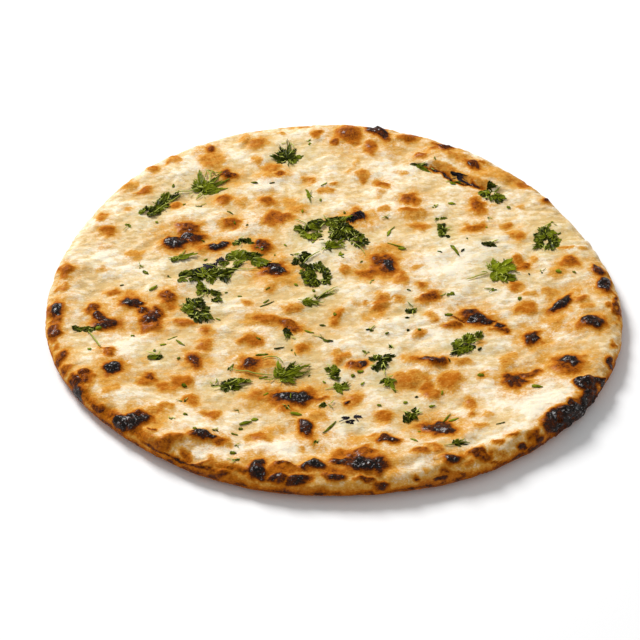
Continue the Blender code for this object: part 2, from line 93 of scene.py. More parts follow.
# Toasted spots by area: x, y, half length, half width, toasting from 0 to 1, and a bearing if they are turned
TOASTED_SPOTS = {
    "back left": (
        (-66, 109, 3.5, 4, 0.75), (-64, 101, 6, 9, 0.4), (-85.5, 99.5, 3, 3, 0.45),
        (-95, 90.5, 2.5, 4.5, 0.5), (-108.5, 77, 4, 5, 0.35), (-98, 74, 4, 2.2, 0.55),
        (-53.5, 87, 5.5, 3.5, 0.8, -45), (-57, 66, 5, 3.5, 0.65), (-82, 62, 3.5, 3.5, 0.55),
        (-120.5, 48.5, 3, 3, 0.45), (-51.5, 47, 5, 4, 0.65), (-107, 56.5, 2, 2, 0.4),
        (-47, 118, 4, 5, 0.37), (-48.5, 62, 4, 4, 0.3),
    ),
    "back": (
        (9, 124, 6, 8, 0.7), (3, 117, 2, 2, 0.7), (25.5, 125, 10, 4, 0.9, -60),
        (22.5, 113, 3.5, 4.5, 0.66), (44.5, 119.5, 5, 4.5, 0.65), (48.5, 103.5, 4, 3, 0.6),
        (-8, 122, 3, 3, 0.6), (-38.5, 117.5, 4, 4.5, 0.5), (-14.5, 133.5, 4, 2, 0.5),
        (-27, 125.5, 2, 2, 0.35), (-40, 100.5, 4, 4, 0.35), (-32, 94, 5, 3, 0.45), (-27, 88, 3, 3, 0.7),
        (-30, 88, 10, 6, 0.3), (17.5, 86, 3, 4.5, 0.46), (-10.5, 84, 3, 3, 0.45), (1, 80, 1.5, 2, 0.4),
        (-3, 74, 4, 2, 0.4), (28, 79.5, 3.5, 3.5, 0.6), (27.5, 72, 3, 3, 0.22), (40, 89, 2.5, 2.5, 0.3),
        (40.5, 66.5, 4, 4, 0.7), (-34, 66, 4.5, 4.5, 0.65), (-30.5, 52, 6, 4.5, 0.65),
        (-16.5, 58, 5, 5, 0.4), (-22, 65, 4, 4, 0.35), (12.5, 57.5, 3, 3, 0.6), (12.5, 50.5, 6, 4, 0.9),
        (27, 57, 2.5, 2.5, 0.4), (40, 56, 5, 3, 0.55), (43.5, 51.5, 4, 3, 0.35), (48, 54, 3, 3, 0.35),
        (13, 96, 9, 2, 0.25, 75),
    ),
    "back right": (
        (76.5, 93.5, 6, 3.5, 0.8, -50), (82, 96, 1.5, 1.5, 0.55), (64, 110.5, 6, 5, 0.85),
        (103, 76, 5, 4, 0.55), (113.5, 62.5, 2.5, 2.5, 0.8), (76.5, 60.5, 3.5, 7, 0.7),
        (99.5, 57.5, 2, 2, 0.35), (88, 88, 17, 8, 0.33, -35), (99, 82, 9, 5, 0.4, -40),
        (72, 97, 12, 4, 0.42, -45),
    ),
    "left": (
        (-116, 39, 3.5, 4.5, 0.6), (-76, 42, 5, 4, 0.75), (-83, 31.5, 5.5, 5, 0.95), (-71, 34, 5, 5, 0.8),
        (-74, 36, 4, 2.8, 1.0), (-64, 28, 5, 3, 0.5), (-59.5, 27, 5, 3.2, 1.0), (-132, 5.5, 4, 4.5, 0.7),
        (-133, -7.5, 2.5, 2.5, 0.45), (-99.5, 21, 4, 4, 0.4), (-114, 26, 3, 3, 0.2), (-116, 8, 3, 2, 0.3),
        (-134, -23, 2.5, 4, 1.0), (-134, -24, 4.5, 8, 0.7), (-134, -37.5, 3.5, 5, 0.78),
        (-117.5, -21, 3, 3.5, 0.75), (-111.5, -28, 3, 4, 0.85), (-107, -30.5, 6, 4, 0.85),
        (-97, -16.5, 5, 3.5, 0.95), (-91.5, -22, 3, 3, 0.75), (-87, -27.5, 5, 5, 0.85),
        (-84, -23.5, 4, 4, 0.75), (-87.5, -32, 4, 3, 0.65), (-108.5, -7.5, 3.5, 2.5, 0.55),
        (-100.5, -8, 4, 3, 0.4), (-79.5, -12, 4.5, 5.5, 0.75), (-70.5, -30.5, 4.5, 2.5, 0.55),
        (-61.5, -35.5, 3, 3, 0.5), (-60.5, -45, 3, 4, 0.5),
    ),
    "middle": (
        (-36, 29.5, 4.5, 5, 0.78), (26, 14, 7, 7, 0.75), (28, 12.5, 3, 3, 1.0), (17.5, 6.5, 5, 3, 0.65),
        (33.5, 2, 2.5, 6, 0.5), (27, 24, 8, 5, 0.35), (-27.5, 7.5, 5.5, 4, 1.0), (-31, 12, 4.5, 3.5, 0.92),
        (-26, 1, 9, 5, 0.3), (6, 7.5, 3, 3, 0.45), (42, 10, 2, 2, 0.35), (44, -3.5, 3, 3, 0.58),
        (46.5, -12, 4, 4, 0.7), (33, -13.5, 2.5, 2.5, 0.45), (26.5, -17.5, 2.5, 7, 0.5),
        (17.5, -17.5, 1.5, 1.5, 0.5), (12.5, -18, 3, 2, 0.25), (47.5, -24.5, 3, 3, 0.4),
        (1.5, -30, 3, 5, 0.5), (-31, -27.5, 10, 4, 0.55, -15), (-20, -33.5, 7, 2, 0.72, -25),
        (-20, -21, 4, 3, 0.45), (-38, -30, 8, 3, 0.32), (-37.5, -42.5, 4.5, 3, 0.6),
        (-41, -16, 3.5, 2, 0.5), (-30, -5.5, 3, 3, 0.4), (-15.5, -48.5, 3.5, 3.5, 0.55),
        (43.5, -37.5, 2.5, 2.5, 0.45), (44.5, 43.5, 4, 3, 0.45), (18, -27, 4, 4, 0.25),
    ),
    "right": (
        (75.5, 41.5, 4.5, 3, 0.65), (92, 43.5, 2.5, 2.5, 0.45), (97.5, 34.5, 3, 5, 0.5),
        (94.5, 15, 2.5, 3.5, 0.52), (97.5, 11, 3, 3, 0.7), (102, 14.5, 2, 2, 0.35),
        (119, 12.5, 4, 4, 0.65), (112.5, 5.5, 4, 4, 0.36), (132, 5, 2.5, 4.5, 0.85),
        (134.5, -5.5, 3, 5, 1.0), (137, -20, 1.5, 10, 0.75), (120, 22, 3, 1, 0.45), (127, 21, 2, 2, 0.35),
        (109.5, -7.5, 4, 3, 0.4), (97, -10, 2.5, 1.5, 0.4), (94, -21.5, 5, 4, 0.5),
        (112, -18.5, 7, 3, 1.0, 47), (121.5, -16.5, 3.5, 2.5, 0.62), (124, -22, 2, 2, 0.4),
        (123.5, -32, 5.5, 3.5, 0.95, 15), (134, -21, 1.5, 2, 0.6), (71, -27.5, 5, 4, 0.95),
        (67, -22.5, 6, 4, 0.8), (60.5, -31, 5, 2.5, 0.7), (75, -30.5, 4, 2.5, 0.95),
        (83.5, -36.5, 4, 2.2, 0.8), (81, -32.5, 2, 2, 0.9), (96, -41.5, 4, 4.5, 0.95),
        (108.5, -29, 2.5, 8, 0.35), (90, -3.5, 4, 3, 0.52), (71.5, -44.5, 3, 2, 0.35),
    ),
    "front left": (
        (-128, -57, 4, 4.5, 0.8), (-105, -53.5, 2.5, 3.5, 0.7), (-102.5, -65, 4, 4.5, 1.0),
        (-114.5, -68, 4.5, 3.5, 0.76), (-119, -71.5, 3.5, 3, 0.82), (-125.5, -64, 2.5, 3, 0.65),
        (-117, -78.5, 6, 4, 0.95, -50), (-107, -89, 4.5, 3.5, 0.8), (-96, -98.5, 5, 4, 1.0),
        (-87, -99, 6, 5, 1.0), (-65, -57, 4, 4.5, 0.85), (-85, -67.5, 3.5, 3, 0.74),
        (-86, -70.5, 5, 3, 0.55), (-77.5, -74, 5, 3, 0.5), (-67, -70.5, 3.5, 4.5, 0.55),
        (-64, -83, 3.5, 3.5, 0.55), (-74, -87, 3.5, 2.5, 0.42), (-80.5, -90.5, 2.5, 2.5, 0.4),
        (-54.5, -93, 2.5, 2.5, 0.6), (-87, -58.5, 2, 2, 0.2), (-110.5, -76, 3, 3, 0.35),
        # The spot at -72, -111 along the small fold's front is partly painted shade
        (-102.5, -79, 3, 3, 0.35), (-72, -111, 8, 3, 0.65), (-57, -107, 5, 2.5, 0.95),
        (-49.5, -110, 4, 2.5, 0.65), (-60, -122, 7, 1.5, 0.7), (-48.5, -127.5, 4, 2, 0.75),
    ),
    "front": (
        (-39.5, -59, 5.5, 4.5, 0.85), (-33, -60, 6, 4, 0.4), (4.5, -55, 4, 4, 0.45),
        (9, -61.5, 3, 3, 0.72), (15, -60, 2, 2, 0.95), (46.5, -57.5, 7, 3, 0.85),
        (34.5, -56.5, 3, 2, 0.35), (35.5, -71.5, 6, 4, 0.47), (30, -67.5, 4, 3, 0.4),
        (42, -68.5, 5, 3, 0.4), (45, -76, 3, 3, 0.6), (44.5, -79.5, 3, 3, 0.5), (-17.5, -81, 9.5, 5, 1.0),
        (-32, -80.5, 8, 3, 0.48), (-38, -82, 4, 2, 0.3), (-6.5, -82.5, 5, 2, 0.7), (-10, -76, 5, 2.5, 0.5),
        (10.5, -83, 4, 4, 0.5), (6.5, -84.5, 1, 1, 0.9), (24, -93.5, 5, 4, 0.55),
        (-11.5, -101.5, 6, 3.5, 0.9, -60), (-7, -93, 4, 4, 0.4), (-22, -88.5, 4, 4, 0.5),
        (-33.5, -106, 4.5, 2.5, 0.55), (-27, -102, 4, 2, 0.3), (22.5, -107.5, 4, 2, 0.85),
        (18.5, -106, 2, 1.5, 0.5), (47.5, -101.5, 7, 4, 0.88), (12, -110, 6, 4, 0.3),
        (10, -118.5, 9, 4, 0.7), (15, -126, 7.5, 4.5, 1.0), (5.5, -124, 5, 2.5, 0.85),
        (37, -116.5, 4, 2, 0.65), (43, -113.5, 4, 2, 0.5), (-13.5, -114.5, 2.5, 1.5, 0.3),
        (-8.5, -124.5, 6, 3.2, 1.0), (-20, -124, 6, 1.5, 0.75), (-34, -127, 5, 5, 0.95),
        (-25.5, -130.5, 5, 1.8, 0.85), (-15.5, -132, 6, 2.5, 0.9), (1, -132, 5, 2, 0.9),
        (13.5, -132.5, 3, 1.5, 0.8), (20.5, -136, 4.5, 3.2, 0.82), (36.5, -132, 1.5, 1.5, 0.85),
        (46.5, -129, 3, 1.5, 0.5),
    ),
    "front right": (
        (62, -58.5, 4, 3.5, 0.4), (53, -73, 6, 5, 0.5), (84, -71.5, 4.5, 5.5, 0.85),
        (92.5, -67.5, 4.5, 3, 0.75), (81.5, -58.5, 3, 4, 0.4), (85, -53, 2, 2, 0.4),
        (83, -60, 12, 2.5, 0.3, 65), (63.5, -86, 3, 3, 0.5), (63, -92.5, 2, 2, 0.6),
        (69, -93, 2.5, 2.5, 0.33), (65.5, -100, 3, 1.5, 0.4), (71, -67.5, 2, 2, 0.5),
        (110.5, -58.5, 5, 3.5, 1.0, -35), (110, -59, 8, 7, 0.72), (129.5, -59.5, 2, 3, 0.85),
        (78.5, -107.5, 3, 1.5, 0.7), (73, -112.5, 2, 1.5, 0.65), (84, -112, 3, 2, 0.88),
        (92.5, -109.5, 4, 2, 0.8), (51, -122, 5, 3, 0.95), (65, -119.5, 4.5, 2.5, 0.75),
        (71.5, -122, 4, 1.5, 0.75), (57.5, -129, 2.5, 1.5, 0.8), (47, -131, 3, 2, 0.85),
    ),
}

# Burnt crust in rough lumps at the right of the rim, in the same order as the toasted spots
BURNT_CRUST = (
    (115.5, -75, 6, 4.5, 1.0), (122, -72, 3.5, 2.5, 0.95), (118, -84, 9.5, 6.5, 1.0, 65),
    (102, -99, 9.5, 7, 1.0, 40), (109, -91, 4.5, 4, 1.0), (113, -98, 5, 4, 0.95), (125, -84, 3, 5, 0.9),
)

# Thin dark lines: toasting, half width and the points along them. Most are scorched dough; those in the gap
# under the flap's lip and just above the small fold's ridge are painted shade, and the one along the fold's
# front is partly painted shade
SCORCHED_AND_SHADED_LINES = (
    (0.95, 0.8, ((-87, 36), (-79, 35), (-68, 32))), (0.85, 0.9, ((57, -26), (61, -27), (66, -29))),
    (0.9, 1.3, ((-107, -11.5), (-99, -16), (-90.5, -22.5), (-87, -27.5))),
    (0.8, 0.8, ((-82, -103), (-76, -106))), (0.62, 1.1, ((-76, -111), (-64, -109), (-54, -108))),
    (1.0, 1.2, ((46, 96.5), (50, 94.5), (61, 90), (66, 83), (76, 77.5), (86, 71))),
    (0.66, 3.0, ((-64, -120), (-40, -127), (-8, -127), (18, -129))),
    (0.66, 4.0, ((-122, -66), (-110, -84), (-94, -100), (-72, -114))),
    (0.85, 1.7, ((-92, -104), (-78, -114), (-62, -122), (-44, -130))),
    (0.42, 2.4, ((50, 97.5), (63, 92), (68.5, 86), (79, 79), (90, 72))),
    (0.35, 3.0, ((66, 101), (80, 91), (94, 80), (102, 70))),
)

# Blisters under the spots: their height, their spread in shares of the spot, and the size of a full one
BLISTER_HEIGHT = 2.1
BLISTER_SPREAD = 1.35
FULL_BLISTER = 4.5
DOME_POWER = 1.5

# How a spot fades: the factor that flattens its middle, its edge and its search in half sizes, and its halo
SPOT_FLAT = 1.28
SPOT_EDGE = 2.1
SPOT_SEARCH = 5
HALO = {"level": 0.42, "reach": 2.7}
# The same for the burnt crust, and its browner gaps
CRUST = {"full": 0.75, "lumpy": 0.6, "fade": 0.7, "halo": 1.35}
CRUST_GAPS = {"from": 0.2, "over": 0.4, "depth": 0.13, "spacing": 5.0, "seed": 73}
# How far the edges of spots are pushed along X and Y: (distance, spacing, seed, lattice size)
SPOT_WARP = (((2.3, 7.5, 31, 64), (1.5, 2.8, 32, 128)), ((2.1, 7.5, 33, 64), (1.3, 2.8, 34, 128)))

# Fine relief of the skin, of charred places and of the crust's lumps (height, spacing, seed, lattice size)
LUMPS = {"spacing": 7.5, "height": 0.75, "drawn_out": 1.3, "seed": 41}
WRINKLES = {"spacing": 3.4, "height": 0.28, "drawn_out": 1.8, "seed": 51}
CHARRING = {"from": 0.5, "over": 0.4, "spacing": 2.2, "height": 0.45, "seed": 61}
CRUST_LUMPS = ((1.0, 3.8, 71, 128), (0.6, 1.7, 72, 256))
CRUST_RISE = 2.2
CRUST_SINK = 1.0

# Browning of the underside, with spots where it touched the oven
UNDERSIDE = {"golden": 0.30, "swing": 0.22, "spacing": 26.0, "seed": 101}
CONTACT = {"from": 0.25, "over": 0.5, "level": 0.42, "most": 0.9, "spacing": 9.0, "seed": 111}
# Browning of the rim's crest in front, and of its side, which is darker further down and in front;
# the darkening lower down is partly painted shade near the floor
CREST_BLOTCHES = {"least": 0.10, "level": 0.62, "over": 0.9, "share": 0.05, "spacing": 8.0, "seed": 131}
CREST_PLACE = 3.0
SIDE_BROWN_AND_SHADE = {"level": 0.68, "front": 0.2, "above": 0.32, "fall": 1.3}
SIDE_NOISE = {"swing": 0.16, "spacing": 7.0, "seed": 135}
SIDE_REACH = {"from": 3.0, "over": 4.0}
FRONT = {"level": 0.5, "reach": 0.75}
# Under the rim: the most browning, how far the pattern is pushed out, and how far in the top's spots go
UNDER_BROWN = 0.66
UNDER_SPREAD = 2.0
UNDER_REACH = 5.0
UNDER_DIMPLES = {"height": 0.25, "spacing": 8.0, "seed": 121, "from": 8.0, "over": 4.0}

# Where the mesh is finer: near the rim, on well toasted spots and on the crust
FINER = {"inset": 4.5, "toast_and_shade": 0.68, "crust": 0.05}
RING_CROWDING = 1.2
# How the dough's paleness follows its relief, as painted highlight on high places and painted shade in low
# ones, and how the herbs tint the dough round them
RELIEF_LIGHT = {"middle": 0.5, "share": 0.42}
HERB_STAIN = {"size": 0.6, "margin": 4.0, "spread": 0.9, "level": 0.7, "least": 0.6, "swing": 0.4}
STAIN_NOISE = {"spacing": 6.0, "seed": 91}

# Pale places dusted with flour (x, y, half length, half width, strength, bearing),
# and painted highlights along crests of folds
FLOURY_PLACES = (
    (-38, -116, 34, 5, 0.5, 2), (-10, -108, 16, 3, 0.3, 5), (95, -87, 14, 7, 0.5, 45),
    (88, -78, 16, 8, 0.35, 30), (-84, -58, 7, 5, 0.3), (-95, -78, 12, 10, 0.3), (-50, 40, 16, 6, 0.3),
    (-40, 75, 14, 6, 0.25), (60, 5, 12, 10, 0.25), (52, -44, 10, 6, 0.3), (-100, -45, 8, 5, 0.3),
    (24, -118, 16, 3, 0.3, 10), (-60, 95, 10, 8, -0.2), (0, -25, 16, 8, -0.25),
)
CREST_HIGHLIGHTS = (
    (0.7, 1.4, ((-87, -101), (-82, -106), (-76, -110))),
    (0.8, 2.1, ((18, -129), (45, -122.5), (62, -113.5), (80, -103), (92, -94))),
    (0.4, 1.5, ((-66, -106), (-54, -104), (-45, -107))),
)

# Coriander leaves: (CAD node, x, y, length, width, bearing, form, tone from dark to bright)
LEAVES = (
    ("back_left", -66.5, 77, 25, 20, 60, "feathery", 0.75),
    ("far_left", -90, 61, 29, 11, 52, "leafy", 0.2), ("back", -25, 106, 24, 19, 88, "feathery", 0.2),
    ("band_end", -76, 18, 14, 8, 45, "blade", 0.35), ("band_left", -61.5, 3.5, 33, 13, 6, "leafy", 0.2),
    ("band_right", -44, 16, 27, 13, -5, "leafy", 0.25),
    ("below_band", -66, -22, 22, 14, -50, "crumpled", 0.1),
    ("below_band_tip", -61, -10, 19, 9, -40, "leafy", 0.3),
    ("middle_back", -2, 46, 25, 10, 8, "leafy", 0.2),
    ("middle_grey", -12, 37, 16, 15, 15, "crumpled", 0.6),
    ("middle_dark", 3, 37, 18, 14, 50, "crumpled", 0.0),
    ("middle_right", 11, 33, 19, 12, -40, "leafy", 0.25),
    ("middle_front", 0, 26, 15, 9, 20, "feathery", 0.6),
    ("centre_stalk", -16, 16, 13, 9, 70, "leafy", 0.1), ("centre", -9, 4, 20, 17, -60, "crumpled", 0.15),
    ("centre_strand", -4, -11, 12, 5, 40, "blade", 0.15),
    ("centre_tip", -11, -17, 13, 7, 10, "feathery", 0.7), ("crumpled", -46, 30, 12, 7, 0, "leafy", 0.3),
    ("left", -119.5, -37, 12, 6, 0, "leafy", 0.3), ("right_back", 57.5, 38, 14, 8, 90, "leafy", 0.25),
    ("right_small", 80, 26, 9, 6, 0, "blade", 0.3), ("far_right", 109, 29, 19, 15, 70, "crumpled", 0.3),
    ("right", 83, 6, 19, 19, 8, "feathery", 0.8), ("flap_back", 49, 93.5, 14, 5, -20, "blade", 0.15),
    ("flap_front", 85, 67, 16, 12, -60, "leafy", 0.15),
    ("front_right", 62.5, -46, 24, 11, 40, "crumpled", 0.25),
    ("front_left", -47, -73, 19, 9, 10, "crumpled", 0.25),
    ("front", -22, -65, 24, 16, 30, "feathery", 0.5), ("front_mid", -1, -65, 11, 8, 90, "leafy", 0.2),
    ("front_low", 2, -75, 12, 8, 20, "feathery", 0.5),
    ("front_dark", 21, -58, 15, 12, 70, "crumpled", 0.1),
    ("front_pale", 24, -71, 15, 9, -75, "feathery", 0.6), ("oval", -22, -40, 9, 6, -50, "blade", 0.0),
    ("left_front", -84, -54, 8, 6, 10, "blade", 0.35), ("bright", 37.5, -21.5, 9, 6, 80, "blade", 0.6),
    ("front_edge", 34, -93, 11, 8, 30, "leafy", 0.2),
    ("rim_front", 53, -113.5, 12, 4, 15, "feathery", 0.4), ("shred", -12, 68.5, 13, 4, -72, "blade", 0.35),
)
CHARRED_LEAVES = (
    ("band_charred", -61, 10.5, 19, 9, 34, "crumpled", 0.5),
    ("middle_charred", 12, 48, 11, 8, 25, "crumpled", 0.2),
    ("front_charred", 7, -96, 11, 6, 10, "crumpled", 0.3),
    ("flap_middle", 69.5, 82, 15, 3.6, -36, "blade", 0.1),
)

# Chopped flecks (x, y, length, width, bearing, tone)
FLECKS = (
    (-107, 41, 6, 4, 50, 0.5), (-69.5, 59.5, 6, 3, 10, 0.4), (-54, 54, 4, 1, -40, 0.0),
    (-42, 79, 4, 1.5, -20, 0.0), (-32.5, 79, 3, 1.2, 10, 0.1), (-4.5, 78, 5, 1.2, 35, 0.7),
    (-13, 115.5, 3, 6, 0, 0.5), (28, 49.5, 5, 3, 60, 0.4), (54, 58, 4, 3, 20, 0.6),
    (63, 61.5, 4, 2, 0, 0.6), (56.5, 48.5, 7, 4, 0, 0.5), (82, 48, 2.5, 4, 0, 0.2),
    (92.5, 57, 2, 2, 0, 0.1), (-97, 12, 5, 2.5, -70, 0.4), (-94, 6, 4, 2, -50, 0.3),
    (-82, 3.5, 2.5, 2.5, 0, 0.0), (-89, -6.5, 5, 2, 30, 0.5), (-73, -45, 6, 1.5, -50, 0.7),
    (-77, -41, 5, 1.2, 15, 0.8), (-81, -46, 3, 1.2, 20, 0.6), (-112.5, -36, 3, 2, 0, 0.5),
    (-32.5, -18, 8, 1.5, 25, 0.2), (-33, -16, 4, 1.2, 40, 0.5), (-7, -41, 7, 2.5, -20, 0.3),
    (-3, -44, 5, 2, -30, 0.2), (-12, -38, 5, 1.5, -35, 0.4), (17.5, -35.5, 5, 3, 10, 0.1),
    (27, -47.5, 2.5, 4, 0, 0.1), (35.5, -35.5, 1.5, 1.5, 0, 0.0), (30, 39, 8, 1.6, 50, 0.6),
    (29, 36, 6, 1.3, 65, 0.7), (32, 26, 9, 1.5, -30, 0.4), (35, 23.5, 4, 2, -20, 0.5),
    (4, 19, 3, 2, 0, 0.7), (19, -1, 4, 2.5, 30, 0.5), (-26, -49, 5, 1.5, 0, 0.1),
    (77.5, -8, 6, 3, 15, 0.5), (56, -12, 7, 4, 35, 0.6), (55.5, -26, 4, 2, 0, 0.5),
    (104.5, 4.5, 3, 4, 0, 0.1), (112, 3, 3, 2, 0, 0.4), (91, -14.5, 2, 2.5, 0, 0.1),
    (-115, -51.5, 2, 2, 0, 0.3), (-55, -71, 5, 4, 0, 0.4), (-69.5, -83.5, 5, 3, -10, 0.6),
    (-69, -74, 2.5, 2, 0, 0.0), (-73, -97.5, 4, 2.5, -20, 0.4), (-67, -94, 2, 2, 0, 0.4),
    (-62, -104, 2, 1.5, 0, 0.3), (-53, -104, 3, 3, 0, 0.2), (-73, -55.5, 1.5, 2, 0, 0.2),
    (-48.5, -62, 4, 2.5, 60, 0.4), (-44.5, -90, 2.5, 2.5, 0, 0.4), (-40, -97.5, 6, 2, 30, 0.4),
    (-36, -95, 3, 2, 30, 0.5), (-42, -101, 2, 1.5, 0, 0.3), (-44.5, -105.5, 3, 1.5, 0, 0.3),
    (-43, -113, 2.5, 2.5, 0, 0.4), (-44.5, -117.5, 3, 2, 0, 0.4), (-44.5, -122.5, 6, 3, -15, 0.3),
    (-34, -53.5, 6, 1.4, 5, 0.2), (-22, -88.5, 4, 4, 0, 0.4), (-17.5, -92, 5, 2, 10, 0.4),
    (20, -87, 2, 1.5, 0, 0.0), (44, -87, 3, 1.5, 0, 0.0), (32, -85, 2, 1.5, 0, 0.5),
    (12, -65, 3, 2, 0, 0.2), (8.5, -67.5, 2, 2, 0, 0.0), (-8.5, -111, 4, 3, 20, 0.5),
    (34.5, -110.5, 4, 1.3, -40, 0.5), (50, -95, 7, 1.3, 65, 0.6), (53, -96, 5, 1.2, 20, 0.6),
    (67.5, -67.5, 3, 2, 0, 0.4), (92.5, -76.5, 5, 2, 0, 0.5), (73.5, -100, 4, 1, 0, 0.4),
    (49, -78.5, 3, 1, 70, 0.8), (-4, -86, 7, 5, 0, 0.5), (65, 80, 8, 5, -30, 0.3),
    (-2.5, -101, 10, 2, 45, 0.2), (15, -52, 4, 4, 0, 0.8), (62, 21, 9, 2, -60, 0.4),
    (112.5, 41, 6, 5, 0, 0.9), (-105, -3, 2, 1, 0, 0.2), (-96, -40, 2, 1.5, 0, 0.3),
    (37, -8, 2, 1, 0, 0.2),
)
LOOSE_BITS = 90
LOOSE_WITHIN = 122.0
SPECK_BELOW = 2.2
SEEDS = {"leaves": 201, "charred": 301, "bits": 401, "flecks": 402}

# Points of a lobed leaflet: shares of the way out from its hub, and spokes across it. Points along a strand
RINGS = (0.08, 0.36, 0.64, 0.86, 1.0)
SPOKES = 28
STRAND_STEPS = 6
# A leaflet's lobes and teeth, its waves and its paleness, and a strand's sizes and bend
LEAFLET = {"lobes": 1.5, "cut": 0.45, "cut_power": 1.6, "teeth": 3, "tooth": 0.16, "half_angle": 80.0}
LEAFLET_LIFT = {"waves": 0.3, "rough": 0.03, "roll": 0.8, "roll_waves": 1.3}
LEAFLET_PALE = {"share": 0.45, "from": 0.6, "swing": 0.06}
STRAND = {"lengths": (1.5, 4.5), "widths": (0.3, 0.6), "bend": 0.35, "lift": 0.35, "ridge": 0.4}
# Square millimetres of leaf for each strand and each heaped leaflet, and millimetres of band for each pair
STRAND_AREA = 20
HEAP_AREA = 22
BAND_STEP = 4.0
# How loose bits scatter about a leaf, and their sizes
BIT_SCATTER = (11, 9)
BIT_LENGTHS = (1.2, 3.0)
BIT_WIDTHS = (0.7, 1.5)

# How a leaf's parts lie: the tilts of a part, its least height, the width that lies flatter, and its tone,
# which is darker the lower a part lies, as painted shade between heaped parts
TILT = {"along": (-0.05, 0.12), "across": (-0.25, 0.25)}
LEAST_LIFT = 0.06
FLAT_BELOW = 7.0
TONE_AND_PILE_SHADE = {"pile": 0.7, "middle": 0.62, "swing": 0.3}

# Stalks and bare veins: half width and three points along each
STALKS = (
    (0.35, ((-15, 12), (-12, 16), (-7, 20))), (0.3, ((66, -1), (71, 1), (77, 4))),
    (0.4, ((-110, -50), (-113, -45), (-117, -39))), (0.35, ((-47, -63), (-38, -66), (-29, -67))),
    (0.3, ((-34, -58), (-28, -56), (-24, -60))), (0.3, ((-8, -15), (-3, -9), (2, -6))),
    (0.25, ((-20, 47), (-16, 45), (-12, 41))), (0.3, ((-84, 70), (-78, 72), (-72, 75))),
    (0.3, ((-64, 12), (-52, 9), (-38, 8))), (0.25, ((10, 28), (14, 24), (16, 19))),
    (0.3, ((-96, 51), (-90, 58), (-80, 70))),
)
STALK_LIFT = 0.5
STALK_SIDES = 6
STALK_STEPS = 14
STALK_TONE = 0.85
STALK_VEIN = 0.55

# The stage, in metres, but the sensor in millimetres
FLOOR_HALF = 4.0
KEY_PLACE = (-1.1, 1.5, 1.7)
KEY_WIDTH = 0.9
NEAREST = 0.01
SENSOR_WIDTH = 36.0

# Layout of the material nodes
NODES_IN_ROW = 8
NODE_STEP = 250


def smooth(t):
    """Ease from 0 to 1 as t goes from 0 to 1."""
    t = np.clip(t, 0.0, 1.0)
    return t * t * (3.0 - 2.0 * t)


def bell(distance, width):
    """A bump that is 1 at the middle and has faded at two widths."""
    return np.exp(-((distance / width) ** 2))


def lattice_noise(x, y, spacing, seed, size=64):
    """Smooth random values between -1 and 1 on a square lattice of the given spacing."""
    lattice = np.random.default_rng(seed).uniform(-1.0, 1.0, (size, size))
    column, row = x / spacing + size / 2, y / spacing + size / 2
    left, low = np.floor(column).astype(int), np.floor(row).astype(int)
    across, up = smooth(column - left), smooth(row - low)
    low, high, left, right = low % size, (low + 1) % size, left % size, (left + 1) % size
    near = lattice[low, left] * (1 - across) + lattice[low, right] * across
    far = lattice[high, left] * (1 - across) + lattice[high, right] * across
    return near * (1 - up) + far * up


def rough_noise(x, y, spacing, seed, octaves=3):
    """Several layers of lattice noise, each half as wide and half as high."""
    return sum(lattice_noise(x, y, spacing / 2**n, seed + n, 256) / 2**n for n in range(octaves))


def noise_of(x, y, layer, octaves=3):
    """Rough noise with the spacing and seed of a table above."""
    return rough_noise(x, y, layer["spacing"], layer["seed"], octaves)


def eased(value, limits):
    """Ease from 0 to 1 over the range of a table above."""
    return smooth((value - limits["from"]) / limits["over"])


def along_stretch(x, y):
    """Coordinates along and across the way that the dough was stretched."""
    turn = math.radians(STRETCH_BEARING)
    return x * math.cos(turn) + y * math.sin(turn), y * math.cos(turn) - x * math.sin(turn)


def path_distance(x, y, path):
    """Signed distance to a path, positive on its left, and a factor that fades at the path's two ends."""
    nearest = np.full_like(x, np.inf)
    signed = np.zeros_like(x)
    along = np.zeros_like(x)
    covered = 0.0
    for (x0, y0), (x1, y1) in zip(path, path[1:]):
        length = math.hypot(x1 - x0, y1 - y0)
        dx, dy = (x1 - x0) / length, (y1 - y0) / length
        step = np.clip((x - x0) * dx + (y - y0) * dy, 0.0, length)
        off_x, off_y = x - x0 - step * dx, y - y0 - step * dy
        distance = np.hypot(off_x, off_y)
        closer = distance < nearest
        side = np.where(dx * off_y - dy * off_x >= 0.0, 1.0, -1.0)
        nearest = np.where(closer, distance, nearest)
        signed = np.where(closer, side * distance, signed)
        along = np.where(closer, covered + step, along)
        covered += length
    fade = smooth(4.0 * along / covered) * smooth(4.0 * (covered - along) / covered)
    return signed, fade


def outline_radius(bearing, mean_radius):
    """Distance from the middle to the outline at a bearing in radians."""
    radius = np.full_like(bearing, mean_radius)
    for waves, height, peak in OUTLINE_WAVES:
        radius += height * np.cos(waves * (bearing - math.radians(peak)))
    return radius


def rim_crest(bearing):
    """Height of the rim's crest, eased from one given bearing to the next."""
    turn = (np.degrees(bearing) - RIM_CREST[0][0]) % 360.0
    crest = np.zeros_like(bearing)
    following = RIM_CREST[1:] + ((RIM_CREST[0][0] + 360, RIM_CREST[0][1]),)
    for (start, low), (end, high) in zip(RIM_CREST, following):
        start, end = start - RIM_CREST[0][0], end - RIM_CREST[0][0]
        inside = (turn >= start) & (turn < end)
        crest = np.where(inside, low + (high - low) * smooth((turn - start) / (end - start)), crest)
    return crest


def pillows(x, y):
    """Soft unevenness of the dough, longer along the way that it was stretched."""
    along, across = along_stretch(x, y)
    along = along / STRETCH_RATIO
    layers = enumerate(PILLOWS, PILLOW_SEED)
    return sum(amount * lattice_noise(along, across, spacing, seed) for seed, (spacing, amount) in layers)


